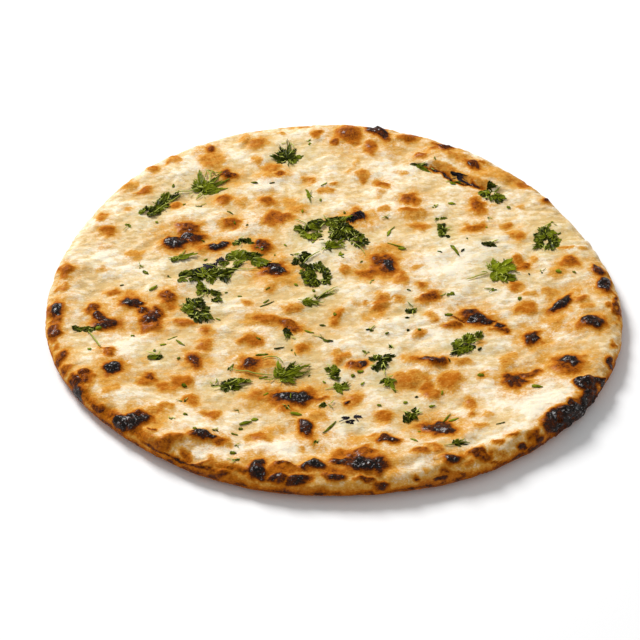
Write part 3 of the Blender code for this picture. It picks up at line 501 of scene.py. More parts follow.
def folds(x, y):
    """The flap, the small fold with its pocket, and the crease inside the thick rim."""
    flap, flap_fade = path_distance(x, y, FLAP_EDGE)
    lip = FLAP_LIP["height"] * eased(flap, FLAP_LIP)
    lip = lip * bell(np.maximum(flap - FLAP_LIP["flat"], 0.0), FLAP_LIP["fall"])
    groove = FLAP_GROOVE["depth"] * bell(flap - FLAP_GROOVE["place"], FLAP_GROOVE["width"])
    height = flap_fade * (lip - groove)
    ridge, ridge_fade = path_distance(x, y, FOLD_RIDGE)
    height += ridge_fade * FOLD_HEIGHT * bell(ridge, FOLD_WIDTH)
    reach = spot_reach(x, y, (*POCKET["place"], *POCKET["half"]))
    height -= POCKET["depth"] * bell(reach, POCKET["spread"])
    crease, crease_fade = path_distance(x, y, RIM_CREASE)
    height -= crease_fade * CREASE_DEPTH * bell(crease, CREASE_WIDTH)
    return height


def quarter_round(inset, reach):
    """Rise of a rounded edge from 0 at the outline to 1 at the given reach."""
    t = np.clip(inset / reach, 0.0, 1.0)
    return np.sqrt(1.0 - (1.0 - t) ** 2)


def edge_lift(bearing, inset):
    """How far the edge stands off what the bread lies on."""
    turn = (np.degrees(bearing) - EDGE_LIFT["bearing"] + 180.0) % 360.0 - 180.0
    fade = 1.0 - smooth(inset / EDGE_LIFT["reach"])
    return EDGE_LIFT["height"] * bell(turn, EDGE_LIFT["half_width"]) * fade


def spot_reach(x, y, spot):
    """Distance from a spot's middle in shares of its half sizes."""
    turn = math.radians(spot[5]) if len(spot) > 5 else 0.0
    along = (x - spot[0]) * math.cos(turn) + (y - spot[1]) * math.sin(turn)
    across = (y - spot[1]) * math.cos(turn) - (x - spot[0]) * math.sin(turn)
    return np.hypot(along / spot[2], across / spot[3])


def unrolled(x, y, fall):
    """Plan places pushed out as far as they lie down the rim's side, so that patterns don't stretch."""
    push = 1.0 + np.maximum(fall, 0.0) / np.maximum(np.hypot(x, y), 1.0)
    return x * push, y * push


def spot_warp(x, y):
    """How far the edges of the toasted spots are pushed along X and along Y."""
    return [
        sum(distance * lattice_noise(x, y, *layer) for distance, *layer in layers)
        for layers in SPOT_WARP
    ]


def toasting(x, y):
    """How toasted the top is (0 to 1), how far its blisters stand up, and how crusty the burnt lumps are."""
    warp_x, warp_y = spot_warp(x, y)
    toast_and_shade, lift, crust = np.zeros_like(x), np.zeros_like(x), np.zeros_like(x)
    spots = [spot for area in TOASTED_SPOTS.values() for spot in area] + list(BURNT_CRUST)
    own_x, own_y = spot_warp(*np.array([spot[:2] for spot in spots], dtype=float).T)
    for spot, ahead_x, ahead_y in zip(spots, own_x, own_y):
        around = SPOT_SEARCH * max(spot[2], spot[3])
        near = np.flatnonzero((np.abs(x - spot[0]) < around) & (np.abs(y - spot[1]) < around))
        reach = spot_reach(x[near] + warp_x[near] - ahead_x, y[near] + warp_y[near] - ahead_y, spot)
        crusty = spot in BURNT_CRUST
        if crusty:
            level = spot[4] * (1.0 - smooth((reach - CRUST["full"]) / CRUST["fade"]))
            crust[near] = np.maximum(crust[near], 1.0 - smooth((reach - CRUST["lumpy"]) / CRUST["fade"]))
        else:
            level = spot[4] * np.minimum(1.0, SPOT_FLAT * (1.0 - smooth(reach / SPOT_EDGE)))
        halo = HALO["level"] * spot[4] * bell(reach, CRUST["halo"] if crusty else HALO["reach"])
        toast_and_shade[near] = np.maximum(toast_and_shade[near], np.maximum(level, halo))
        full = min(1.0, math.sqrt(spot[2] * spot[3]) / FULL_BLISTER)
        dome = np.clip(1.0 - (reach / BLISTER_SPREAD) ** 2, 0.0, 1.0) ** DOME_POWER
        lift[near] = np.maximum(lift[near], BLISTER_HEIGHT * spot[4] * full * dome)
    # Some lines are painted shade in the gaps by the flap's lip and the small fold
    for level, half_width, path in SCORCHED_AND_SHADED_LINES:
        distance, fade = path_distance(x + warp_x / 2, y + warp_y / 2, path)
        toast_and_shade = np.maximum(toast_and_shade, level * np.sqrt(fade) * bell(distance, half_width))
    gaps = eased(-noise_of(x, y, CRUST_GAPS, 2), CRUST_GAPS)
    return toast_and_shade * (1.0 - CRUST_GAPS["depth"] * crust * gaps), lift, crust


def bread_top(x, y, mean_radius, middle_height, side_height):
    """Heights of the upper surface, with its toasting, burnt crust and distance in from the outline."""
    bearing = np.arctan2(y, x)
    inset = np.maximum(outline_radius(bearing, mean_radius) - np.hypot(x, y), 0.0)
    crest = rim_crest(bearing)
    body = crest + (middle_height - crest) * smooth((inset - TOP_ROUND) / RIM_FADE)
    rise = quarter_round(inset, TOP_ROUND)
    fall = SIDE_FROM * crest - side_height - (body - side_height) * rise
    toast_and_shade, lift, crust = toasting(*unrolled(x, y, fall))
    relief = pillows(x, y) + folds(x, y) + lift
    height = side_height + (body - side_height + relief) * rise + edge_lift(bearing, inset)
    return height, toast_and_shade, crust, inset


def paleness_and_highlights(x, y):
    """How much paler than its surroundings the dough is: flour, and painted highlights on crests."""
    extra = np.zeros_like(x)
    for place in FLOURY_PLACES:
        extra += place[4] * bell(spot_reach(x, y, place), 1.0)
    for strength, half_width, path in CREST_HIGHLIGHTS:
        distance, fade = path_distance(x, y, path)
        extra += strength * np.sqrt(fade) * bell(distance, half_width)
    return extra


def ridged_noise(x, y, spacing, seed):
    """Noise with sharp crests, about 0 on average."""
    return 0.8 - 1.6 * np.abs(rough_noise(x, y, spacing, seed, 2))


def dough_relief(x, y):
    """Lumps and stretched wrinkles of the baked skin, from about -1 to 1 millimetre."""
    along, across = along_stretch(x, y)
    lumps = noise_of(along / LUMPS["drawn_out"], across, LUMPS)
    wrinkles = ridged_noise(along / WRINKLES["drawn_out"], across, WRINKLES["spacing"], WRINKLES["seed"])
    return LUMPS["height"] * lumps + WRINKLES["height"] * wrinkles


def burnt_relief(x, y, toast_and_shade, crust):
    """Rough blistered places where the top is charred, and the lumps of the burnt crust."""
    blistered = eased(toast_and_shade, CHARRING) * CHARRING["height"] * noise_of(x, y, CHARRING, 2)
    lumps = sum(height * np.abs(lattice_noise(x, y, *layer)) for height, *layer in CRUST_LUMPS)
    return blistered + crust * (CRUST_RISE * np.sqrt(lumps) - CRUST_SINK)


def colour(name, description, default):
    """A colour setting."""
    looks = {"name": name, "description": description, "default": default}
    return FloatVectorProperty(**looks, subtype="COLOR", min=0.0, max=1.0)


def length(name, description, default):
    """A setting in metres."""
    return FloatProperty(name=name, description=description, default=default, unit="LENGTH")


class BreadSettings(bpy.types.PropertyGroup):
    """Sizes and colours of the bread."""

    mean_radius: length("Mean radius", "Mean distance from the middle to the outline", 0.1383)
    middle_height: length("Middle height", "Thickness in the middle", 0.0078)
    side_height: length("Side height", "Height of the widest line of the side", 0.0048)
    steps: IntProperty(name="Steps", description="Faces across each grid", default=114, min=20, max=300)
    cream: colour("Cream", "Dough that didn't toast", (0.84, 0.65, 0.375))
    # Pale and tan follow the relief: painted highlight on high places, painted shade in low ones
    pale: colour("Pale", "Floury high places", (0.95, 0.845, 0.65))
    tan: colour("Tan", "Low places that browned evenly", (0.72, 0.49, 0.21))
    golden: colour("Golden", "Lightly toasted dough", (0.69, 0.335, 0.052))
    orange: colour("Orange", "Toasted dough", (0.48, 0.135, 0.004))
    brown: colour("Brown", "Well toasted dough", (0.16, 0.030, 0.0008))
    burnt: colour("Burnt", "Charred dough", (0.009, 0.004, 0.002))
    # Ash: painted grey glints on charred dough, the same under any light
    ash_and_glint: colour("Ash and glint", "Grey grains of charred dough", (0.30, 0.29, 0.29))
    stain: colour("Herb stain", "Tint round the herbs", (0.50, 0.41, 0.14))


class HerbSettings(bpy.types.PropertyGroup):
    """Sizes and colours of the coriander."""

    thickness: length("Thickness", "Thickness of a leaf", 0.00022)
    curl: length("Curl", "How far leaves stand off the bread", 0.0006)
    # Dark green is also the painted shade of the lowest leaflets in a heap
    dark: colour("Dark green", "Wilted leaf", (0.016, 0.020, 0.0002))
    bright: colour("Bright green", "Fresh leaf", (0.23, 0.265, 0.007))
    # The vein colour also paints glints along the strands
    vein_and_glint: colour("Veins", "Veins and stalks", (0.58, 0.62, 0.14))
    charred: colour("Charred", "Burnt leaf", (0.010, 0.007, 0.009))
    # Ash: grey of a burnt leaf, also the painted glints along its strands
    ash_and_glint: colour("Ash and glint", "Grey parts of a burnt leaf", (0.055, 0.045, 0.06))


class StageSettings(bpy.types.PropertyGroup):
    """Camera, lights and floor."""

    elevation: FloatProperty(
        name="Elevation", description="The camera's angle over the floor", subtype="ANGLE",
        default=math.radians(42.46),
    )
    distance: length("Distance", "From the camera to its aim", 0.6968)
    aim: FloatVectorProperty(
        name="Aim", description="Where the camera looks", subtype="TRANSLATION",
        default=(-0.00673, -0.02106, 0.0),
    )
    lens: FloatProperty(name="Lens", description="Focal length in millimetres", default=80.0)
    floor_colour: colour("Floor", "Colour of the floor", (0.97, 0.97, 0.97))
    sky: FloatProperty(name="Sky", description="Strength of the light from all round", default=0.46, min=0)
    key: FloatProperty(name="Key light", description="Watts of the back left light", default=66.0, min=0)


def settings():
    """The bread's, herbs' and stage's settings of the open scene."""
    scene = bpy.context.scene
    return scene.naan_bread, scene.naan_herbs, scene.naan_stage


def surface_at(x, y):
    """Height of the bread's top at places in the row frame, in millimetres."""
    bread = settings()[0]
    shift_x, shift_y = outline_middle(bread.mean_radius / MM)
    sizes = [size / MM for size in (bread.mean_radius, bread.middle_height, bread.side_height)]
    x, y = x + shift_x, y + shift_y
    height, toast_and_shade, crust, inset = bread_top(x, y, *sizes)
    out_x, out_y = unrolled(x, y, SIDE_FROM * rim_crest(np.arctan2(y, x)) - height)
    relief = dough_relief(out_x, out_y) + burnt_relief(out_x, out_y, toast_and_shade, crust)
    return height + relief * smooth(inset / CALM_EDGE)


def outline_middle(mean_radius):
    """Middle of the outline's box, which the bread is centred on."""
    bearing = np.linspace(-math.pi, math.pi, 2000)
    radius = outline_radius(bearing, mean_radius)
    x, y = radius * np.cos(bearing), radius * np.sin(bearing)
    return (x.max() + x.min()) / 2, (y.max() + y.min()) / 2


def square_to_disc(u, v):
    """Turn a square from -1 to 1 into bearings and a share of the radius, ring by ring."""
    share = np.maximum(np.abs(u), np.abs(v))
    wide = np.abs(u) > np.abs(v)
    ratio = np.where(wide, v, u) / np.where(share > 0.0, np.where(wide, u, v), 1.0)
    bearing = np.where(wide, ratio * math.pi / 4, math.pi / 2 - ratio * math.pi / 4)
    turned = np.where(wide, u < 0.0, v < 0.0)
    return bearing + np.where(turned, math.pi, 0.0), share


def vertex_places(mesh):
    """The mesh's vertices as rows of three numbers."""
    places = np.empty(len(mesh.vertices) * 3, dtype=np.float32)
    mesh.vertices.foreach_get("co", places)
    return places.reshape(-1, 3).astype(float)


def store(mesh, name, values):
    """Keep one number for each vertex, for the material to read."""
    attribute = mesh.attributes.new(name, "FLOAT", "POINT")
    attribute.data.foreach_set("value", np.asarray(values, dtype=np.float32))


def shade_smooth(mesh):
    mesh.polygons.foreach_set("use_smooth", np.ones(len(mesh.polygons), dtype=bool))


def new_piece(name, mesh, replaced=()):
    """Link a mesh as a piece of the object that rides on its one body."""
    piece = bpy.data.objects.new(name, mesh)
    bpy.context.scene.collection.objects.link(piece)
    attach(piece, "root")
    if replaced:
        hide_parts(*replaced)
    return piece


def node(tree, kind, **values):
    """Add a node with its settings and its sockets' values, beside the nodes before it."""
    made = tree.nodes.new(kind)
    row, column = divmod(len(tree.nodes), NODES_IN_ROW)
    made.location = (column * NODE_STEP, -row * NODE_STEP)
    for name, value in values.items():
        if hasattr(made, name):
            setattr(made, name, value)
        else:
            made.inputs[name.replace("_", " ")].default_value = value
    return made


def mix_colours(tree, share, first, second):
    """A colour that goes from the first socket to the second with the share."""
    made = node(tree, "ShaderNodeMix", data_type="RGBA")
    tree.links.new(share, made.inputs["Factor"])
    tree.links.new(first, made.inputs[6])
    tree.links.new(second, made.inputs[7])
    return made.outputs[2]


def ease(tree, value, low, high, bottom=0.0, top=1.0):
    """A smooth step of a value between two limits."""
    made = node(tree, "ShaderNodeMapRange", interpolation_type="SMOOTHSTEP")
    for name, number in (("From Min", low), ("From Max", high), ("To Min", bottom), ("To Max", top)):
        made.inputs[name].default_value = number
    tree.links.new(value, made.inputs["Value"])
    return made.outputs["Result"]


def calculate(tree, operation, first, second, clamp=False):
    """A number worked out from two sockets or numbers."""
    made = node(tree, "ShaderNodeMath", operation=operation, use_clamp=clamp)
    for socket, value in zip(made.inputs, (first, second)):
        if isinstance(value, (int, float)):
            socket.default_value = value
        else:
            tree.links.new(value, socket)
    return made.outputs[0]


def noise_on(tree, scale, detail, roughness=0.55, stretch=(1.0, 1.0, 1.0)):
    """Noise fixed to the object, its scale in waves for each metre."""
    where = node(tree, "ShaderNodeTexCoord")
    turned = node(tree, "ShaderNodeMapping")
    turned.inputs["Rotation"].default_value = (0.0, 0.0, math.radians(-STRETCH_BEARING))
    turned.inputs["Scale"].default_value = stretch
    made = node(tree, "ShaderNodeTexNoise", Scale=scale, Detail=detail, Roughness=roughness)
    tree.links.new(where.outputs["Object"], turned.inputs["Vector"])
    tree.links.new(turned.outputs["Vector"], made.inputs["Vector"])
    return made.outputs["Fac"]


def new_group(name, colours, numbers, results):
    """A node group with named colours and numbers going in: its tree, its inputs and its outputs."""
    tree = bpy.data.node_groups.new(name, "ShaderNodeTree")
    for given, value in numbers.items():
        tree.interface.new_socket(given, in_out="INPUT", socket_type="NodeSocketFloat").default_value = value
    for given in colours:
        socket = tree.interface.new_socket(given, in_out="INPUT", socket_type="NodeSocketColor")
        socket.default_value = (1.0, 1.0, 1.0, 1.0)
    for result, kind in results.items():
        tree.interface.new_socket(result, in_out="OUTPUT", socket_type="NodeSocket" + kind)
    return tree, node(tree, "NodeGroupInput").outputs, node(tree, "NodeGroupOutput").inputs


def toasting_group():
    """From how toasted a place is to its colour, mottled at the edges, with painted grey glints where
    charred.
    """
    colours = ("Dough", "Golden", "Orange", "Brown", "Burnt", "Ash and glint")
    results = {"Colour": "Color", "Charred": "Float"}
    tree, given, wanted = new_group("Toasting", colours, {"Amount": 0.0, "Mottling": 0.3}, results)
    coarse = calculate(tree, "MULTIPLY", noise_on(tree, scale=330.0, detail=4.0, roughness=0.62), 0.58)
    grain = noise_on(tree, scale=1400.0, detail=3.0, roughness=0.6, stretch=(0.7, 1.0, 1.0))
    both = calculate(tree, "ADD", coarse, calculate(tree, "MULTIPLY", grain, 0.42))
    swing = calculate(tree, "MULTIPLY", calculate(tree, "SUBTRACT", both, 0.5), given["Mottling"])
    swing = calculate(tree, "MULTIPLY", swing, ease(tree, given["Amount"], 0.02, 0.4, 0.4, 1.0))
    toasted = calculate(tree, "ADD", given["Amount"], swing)
    colour = given["Dough"]
    steps = (("Golden", 0.06, 0.32), ("Orange", 0.26, 0.56), ("Brown", 0.52, 0.82), ("Burnt", 0.76, 0.98))
    for name, low, high in steps:
        colour = mix_colours(tree, ease(tree, toasted, low, high), colour, given[name])
    # Painted grey glints where the dough is charred
    grains = ease(tree, noise_on(tree, scale=900.0, detail=2.0, roughness=0.5), 0.56, 0.68, 0.0, 0.85)
    glint_share = calculate(tree, "MULTIPLY", grains, ease(tree, toasted, 0.84, 1.0))
    tree.links.new(mix_colours(tree, glint_share, colour, given["Ash and glint"]), wanted["Colour"])
    tree.links.new(ease(tree, toasted, 0.66, 0.95), wanted["Charred"])
    return tree


def dough_group():
    """Dough colour: pale where high, tan where low (painted highlight and shade), green-gold by the herbs."""
    colours = ("Cream", "Pale", "Tan", "Stain")
    tree, given, wanted = new_group("Dough", colours, {"Rise": 0.5, "Stained": 0.0}, {"Colour": "Color"})
    clouds = noise_on(tree, scale=60.0, detail=4.0, roughness=0.6, stretch=(0.6, 1.0, 1.0))
    mottles = noise_on(tree, scale=380.0, detail=5.0, roughness=0.68, stretch=(0.7, 1.0, 1.0))
    broad, fine = ease(tree, clouds, 0.3, 0.7, -0.28, 0.28), ease(tree, mottles, 0.32, 0.68, -0.4, 0.4)
    level = calculate(tree, "ADD", given["Rise"], calculate(tree, "ADD", broad, fine))
    tan_and_shaded = mix_colours(tree, ease(tree, level, 0.05, 0.5), given["Tan"], given["Cream"])
    pale_and_highlit = mix_colours(tree, ease(tree, level, 0.5, 1.0), tan_and_shaded, given["Pale"])
    tree.links.new(mix_colours(tree, given["Stained"], pale_and_highlit, given["Stain"]), wanted["Colour"])
    return tree


def skin_group():
    """Height of the baked skin, with crumbs where it is charred, and a mask of its buttery places."""
    results = {"Height": "Float", "Buttery": "Float"}
    tree, given, wanted = new_group("Baked skin", (), {"Roughened": 0.0}, results)
    height = noise_on(tree, scale=420.0, detail=5.0, roughness=0.6, stretch=(0.45, 1.0, 1.0))
    grains = noise_on(tree, scale=2200.0, detail=3.0, roughness=0.6)
    crumbs = noise_on(tree, scale=850.0, detail=2.0, roughness=0.55)
    fine = calculate(tree, "MULTIPLY", grains, ease(tree, given["Roughened"], 0.0, 1.0, 0.25, 0.9))
    coarse = calculate(tree, "MULTIPLY", crumbs, ease(tree, given["Roughened"], 0.3, 1.0, 0.0, 2.0))
    height = calculate(tree, "ADD", height, calculate(tree, "ADD", fine, coarse))
    tree.links.new(height, wanted["Height"])
    patches = noise_on(tree, scale=55.0, detail=3.0, roughness=0.6)
    tree.links.new(ease(tree, patches, 0.45, 0.62), wanted["Buttery"])
    return tree


def attribute(tree, name):
    """A number that the mesh keeps for each vertex."""
    return node(tree, "ShaderNodeAttribute", attribute_name=name).outputs["Fac"]


def place_group(tree, group, colours, **values):
    """Put a node group into a material with its own colours and values."""
    made = node(tree, "ShaderNodeGroup", node_tree=group)
    for name, value in values.items():
        made.inputs[name].default_value = value
    for name, colour in colours.items():
        made.inputs[name].default_value = (*colour, 1.0)
    return made


def new_material(name, roughness, specular):
    """A material with its Principled shader."""
    material = bpy.data.materials.new(name)
    material.use_nodes = True
    shader = material.node_tree.nodes["Principled BSDF"]
    shader.inputs["Roughness"].default_value = roughness
    shader.inputs["Specular IOR Level"].default_value = specular
    return material, material.node_tree, shader


def bump(tree, height, shader, strength, distance):
    """Fine relief of a material."""
    made = node(tree, "ShaderNodeBump", Strength=strength, Distance=distance)
    tree.links.new(height, made.inputs["Height"])
    tree.links.new(made.outputs["Normal"], shader.inputs["Normal"])


def bread_material(bread):
    """Dough with toasted and burnt spots, herb stains and buttery gloss."""
    material, tree, shader = new_material("Toasted bread", roughness=0.5, specular=0.025)
    colours = {"Cream": bread.cream, "Pale": bread.pale, "Tan": bread.tan, "Stain": bread.stain}
    dough = place_group(tree, dough_group(), colours)
    # The rise attribute: paleness from relief, partly painted highlight and painted shade
    tree.links.new(attribute(tree, "rise"), dough.inputs["Rise"])
    tree.links.new(attribute(tree, "stain"), dough.inputs["Stained"])
    colours = {"Golden": bread.golden, "Orange": bread.orange, "Brown": bread.brown}
    colours |= {"Burnt": bread.burnt, "Ash and glint": bread.ash_and_glint}
    toasted = place_group(tree, toasting_group(), colours, Mottling=1.05)
    tree.links.new(dough.outputs["Colour"], toasted.inputs["Dough"])
    tree.links.new(attribute(tree, "toast_and_shade"), toasted.inputs["Amount"])
    tree.links.new(toasted.outputs["Colour"], shader.inputs["Base Color"])
    skin = place_group(tree, skin_group(), {})
    tree.links.new(toasted.outputs["Charred"], skin.inputs["Roughened"])
    butter = calculate(tree, "MULTIPLY", skin.outputs["Buttery"], 0.1)
    charred = calculate(tree, "MULTIPLY", toasted.outputs["Charred"], 0.3)
    tree.links.new(calculate(tree, "ADD", butter, charred), shader.inputs["Coat Weight"])
    shader.inputs["Coat Roughness"].default_value = 0.22
    bump(tree, skin.outputs["Height"], shader, strength=0.95, distance=0.0008)
    shader.inputs["Subsurface Weight"].default_value = 0.08
    shader.inputs["Subsurface Radius"].default_value = (1.0, 0.5, 0.2)
    shader.inputs["Subsurface Scale"].default_value = 0.002
    return material


def leaf_group():
    """Leaf colour, dark to bright by tone and painted shade, lighter at veins and painted glints, with fine
    relief.
    """
    results = {"Colour": "Color", "Height": "Float"}
    tree, given, wanted = new_group("Leaf", ("Dark", "Bright", "Streak colour"), {"Tone": 0.5, "Streak share": 0.0}, results)
    patches = noise_on(tree, scale=420.0, detail=4.0, roughness=0.65)
    tone = calculate(tree, "ADD", given["Tone"], ease(tree, patches, 0.36, 0.66, -0.26, 0.26), True)
    green = mix_colours(tree, tone, given["Dark"], given["Bright"])
    tree.links.new(mix_colours(tree, given["Streak share"], green, given["Streak colour"]), wanted["Colour"])
    tree.links.new(noise_on(tree, scale=1500.0, detail=3.0, roughness=0.6), wanted["Height"])
    return tree


def leaf_material(name, group, colours, roughness):
    """A leaf's material, its colours given by the leaf group."""
    material, tree, shader = new_material(name, roughness, specular=0.01)
    shader.inputs["Coat Weight"].default_value = 0.05
    shader.inputs["Coat Roughness"].default_value = 0.2
    leaf = place_group(tree, group, colours)
    tree.links.new(attribute(tree, "tone"), leaf.inputs["Tone"])
    tree.links.new(attribute(tree, "vein_and_glint"), leaf.inputs["Streak share"])
    tree.links.new(leaf.outputs["Colour"], shader.inputs["Base Color"])
    bump(tree, leaf.outputs["Height"], shader, strength=0.6, distance=0.0004)
    return material


def two_sheets(steps):
    """Two square grids that share their rim: the top one at height 1 and the under one at -1."""
    bm = bmesh.new()
    for height in (1.0, -1.0):
        sheet = bmesh.ops.create_grid(bm, x_segments=steps, y_segments=steps, size=1.0)
        for vertex in sheet["verts"]:
            edge = max(abs(vertex.co.x), abs(vertex.co.y)) > 1.0 - 0.5 / steps
            vertex.co.z = 0.0 if edge else height
        if height < 0.0:
            faces = {face for vertex in sheet["verts"] for face in vertex.link_faces}
            bmesh.ops.reverse_faces(bm, faces=list(faces))
    rim = [vertex for vertex in bm.verts if vertex.is_boundary]
    bmesh.ops.remove_doubles(bm, verts=rim, dist=0.0001)
    return bm


def face_middles(faces):
    return np.array([face.calc_center_median() for face in faces], dtype=float).reshape(-1, 3)


def refine(bm, faces):
    """Split each of the faces into four."""
    edges = {edge for face in faces for edge in face.edges}
    bmesh.ops.subdivide_edges(bm, edges=list(edges), cuts=1, use_grid_fill=True)


def plan_places(points, mean_radius):
    """Plan places of points of the square grids, with the rings closer together near the rim."""
    bearing, share = square_to_disc(points[:, 0], points[:, 1])
    radius = outline_radius(bearing, mean_radius) * (1.0 - np.maximum(1.0 - share, 0.0) ** RING_CROWDING)
    return radius * np.cos(bearing), radius * np.sin(bearing)


def herb_stain(x, y):
    """How much the herbs have tinted the dough round them, but for those on the flap's toasted lip."""
    stain = np.zeros_like(x)
    for name, px, py, long, wide, bearing, _, _ in LEAVES + CHARRED_LEAVES:
        if not name.startswith("flap"):
            half = [HERB_STAIN["size"] * size + HERB_STAIN["margin"] for size in (long, wide)]
            reach = spot_reach(x, y, (px, py, *half, 1.0, bearing))
            stain = np.maximum(stain, bell(reach, HERB_STAIN["spread"]))
    unevenness = lattice_noise(x, y, STAIN_NOISE["spacing"], STAIN_NOISE["seed"])
    return HERB_STAIN["level"] * stain * (HERB_STAIN["least"] + HERB_STAIN["swing"] * unevenness)


def underside_toasting(x, y):
    """The underside's own pattern: broad golden patches and small brown contact spots."""
    patches = UNDERSIDE["golden"] + UNDERSIDE["swing"] * noise_of(x, y, UNDERSIDE)
    contact = eased(noise_of(x, y, CONTACT), CONTACT)
    return np.clip(patches + CONTACT["level"] * contact, 0.0, CONTACT["most"])


def side_browning_and_shade(x, y, share, inset, bearing):
    """How brown the rim is: browner down its side (partly painted shade), with dark blotches on the front's
    crest.
    """
    front = smooth(FRONT["level"] - FRONT["reach"] * np.sin(bearing))
    blotches = smooth(noise_of(x, y, CREST_BLOTCHES) / CREST_BLOTCHES["over"] + CREST_BLOTCHES["share"])
    blotches = CREST_BLOTCHES["least"] + CREST_BLOTCHES["level"] * blotches
    crest = blotches * front * bell(inset - CREST_PLACE, CREST_PLACE)
    browner = SIDE_BROWN_AND_SHADE["front"] * front
    climb = np.maximum(share - SIDE_BROWN_AND_SHADE["above"], 0.0)
    side = SIDE_BROWN_AND_SHADE["level"] + browner - (SIDE_BROWN_AND_SHADE["fall"] + browner) * climb
    side = side + SIDE_NOISE["swing"] * noise_of(x, y, SIDE_NOISE)
    near_edge = 1.0 - eased(inset, SIDE_REACH)
    return np.clip(np.maximum(crest, side * near_edge), 0.0, 1.0)


def bread_grids(steps, sizes):
    """The bread's two sheets as a mesh, finer near the rim and on well toasted places."""
    bm = two_sheets(steps)
    refine(bm, [face for face in bm.faces if face.calc_center_median().z > 0.0])
    faces = list(bm.faces)
    middles = face_middles(faces)
    _, toast_and_shade, crust, inset = bread_top(*plan_places(middles, sizes[0]), *sizes)
    toasted = (toast_and_shade > FINER["toast_and_shade"]) | (crust > FINER["crust"])
    finer = (inset < FINER["inset"]) | ((middles[:, 2] > 0.0) & toasted)
    refine(bm, [face for face, wanted in zip(faces, finer) if wanted])
    mesh = bpy.data.meshes.new("naan_crust")
    bm.to_mesh(mesh)
    bm.free()
    return mesh


def underside_height(x, y, inset, bearing, side):
    """Height of the underside: round at its edge and slightly dimpled inside it."""
    rise = quarter_round(inset, UNDER_ROUND)
    height = side * (1.0 - rise) + edge_lift(bearing, inset)
    dimples = np.clip(noise_of(x, y, UNDER_DIMPLES), 0.0, 1.0)
    return height + rise * UNDER_DIMPLES["height"] * dimples * eased(inset, UNDER_DIMPLES)


class NAAN_OT_bake_bread(bpy.types.Operator):
    """Make the bread's surface with its folds, blisters and toasted spots"""

    bl_idname = "naan.bake_bread"
    bl_label = "Bake the bread"

    def execute(self, context):
        bread = settings()[0]
        sizes = [size / MM for size in (bread.mean_radius, bread.middle_height, bread.side_height)]
        mesh = bread_grids(bread.steps, sizes)
        points = vertex_places(mesh)
        above = points[:, 2] >= 0.0
        x, y = plan_places(points, sizes[0])
        bearing = np.arctan2(y, x)
        crest = rim_crest(bearing)
        height, toast_and_shade, crust, inset = bread_top(x, y, *sizes)
        z = np.where(above, height, underside_height(x, y, inset, bearing, sizes[2]))
        out_x, out_y = unrolled(x, y, SIDE_FROM * crest - z + np.where(above, 0.0, UNDER_SPREAD * inset))
        low_toast, _, low_crust = toasting(out_x, out_y)
        near_rim = 1.0 - smooth(inset / UNDER_REACH)
        toast_and_shade = np.where(above, toast_and_shade, near_rim * low_toast)
        crust = np.where(above, crust, near_rim * low_crust)
        relief = dough_relief(out_x, out_y)
        calmed = np.where(above, relief * smooth(inset / CALM_EDGE), 0.0)
        raised = calmed + burnt_relief(out_x, out_y, toast_and_shade, crust)
        steep = np.clip(1.0 - inset / TOP_ROUND, 0.0, 1.0)
        outward = (raised + DENTS * (np.minimum(relief, DENT_LEVEL) - DENT_LEVEL)) * steep
        upward = np.where(above, raised * np.sqrt(1.0 - steep**2), 0.0)
        shift_x, shift_y = outline_middle(sizes[0])
        plan_x = x + outward * np.cos(bearing) - shift_x
        plan_y = y + outward * np.sin(bearing) - shift_y
        placed = np.stack([plan_x, plan_y, np.minimum(z + upward, TOP_LIMIT)], axis=1) * MM
        mesh.vertices.foreach_set("co", placed.astype(np.float32).ravel())
        # The rim's side is darker lower down, partly as painted shade near the floor
        browned_and_shaded = side_browning_and_shade(out_x, out_y, z / crest, inset, bearing)
        below = np.maximum(underside_toasting(x, y) * (1.0 - near_rim), np.minimum(browned_and_shaded, UNDER_BROWN))
        store(mesh, "toast_and_shade", np.maximum(toast_and_shade, np.where(above, browned_and_shaded, below)))
        # Paleness: painted highlight on high relief, painted shade in low relief, plus flour and crest
        # highlights
        store(mesh, "rise", RELIEF_LIGHT["middle"] + RELIEF_LIGHT["share"] * relief + paleness_and_highlights(x, y))
        store(mesh, "stain", np.where(above, herb_stain(x - shift_x, y - shift_y), 0.0))
        shade_smooth(mesh)
        mesh.update()
        mesh.materials.append(bread_material(bread))
        new_piece("naan_crust", mesh, ["naan"])
        return {"FINISHED"}


def sheet_faces(rows, columns):
    """Faces of a sheet whose points lie in rows."""
    first = np.array([row * columns + column for row in range(rows - 1) for column in range(columns - 1)])
    return np.stack([first, first + 1, first + columns + 1, first + columns], axis=1)


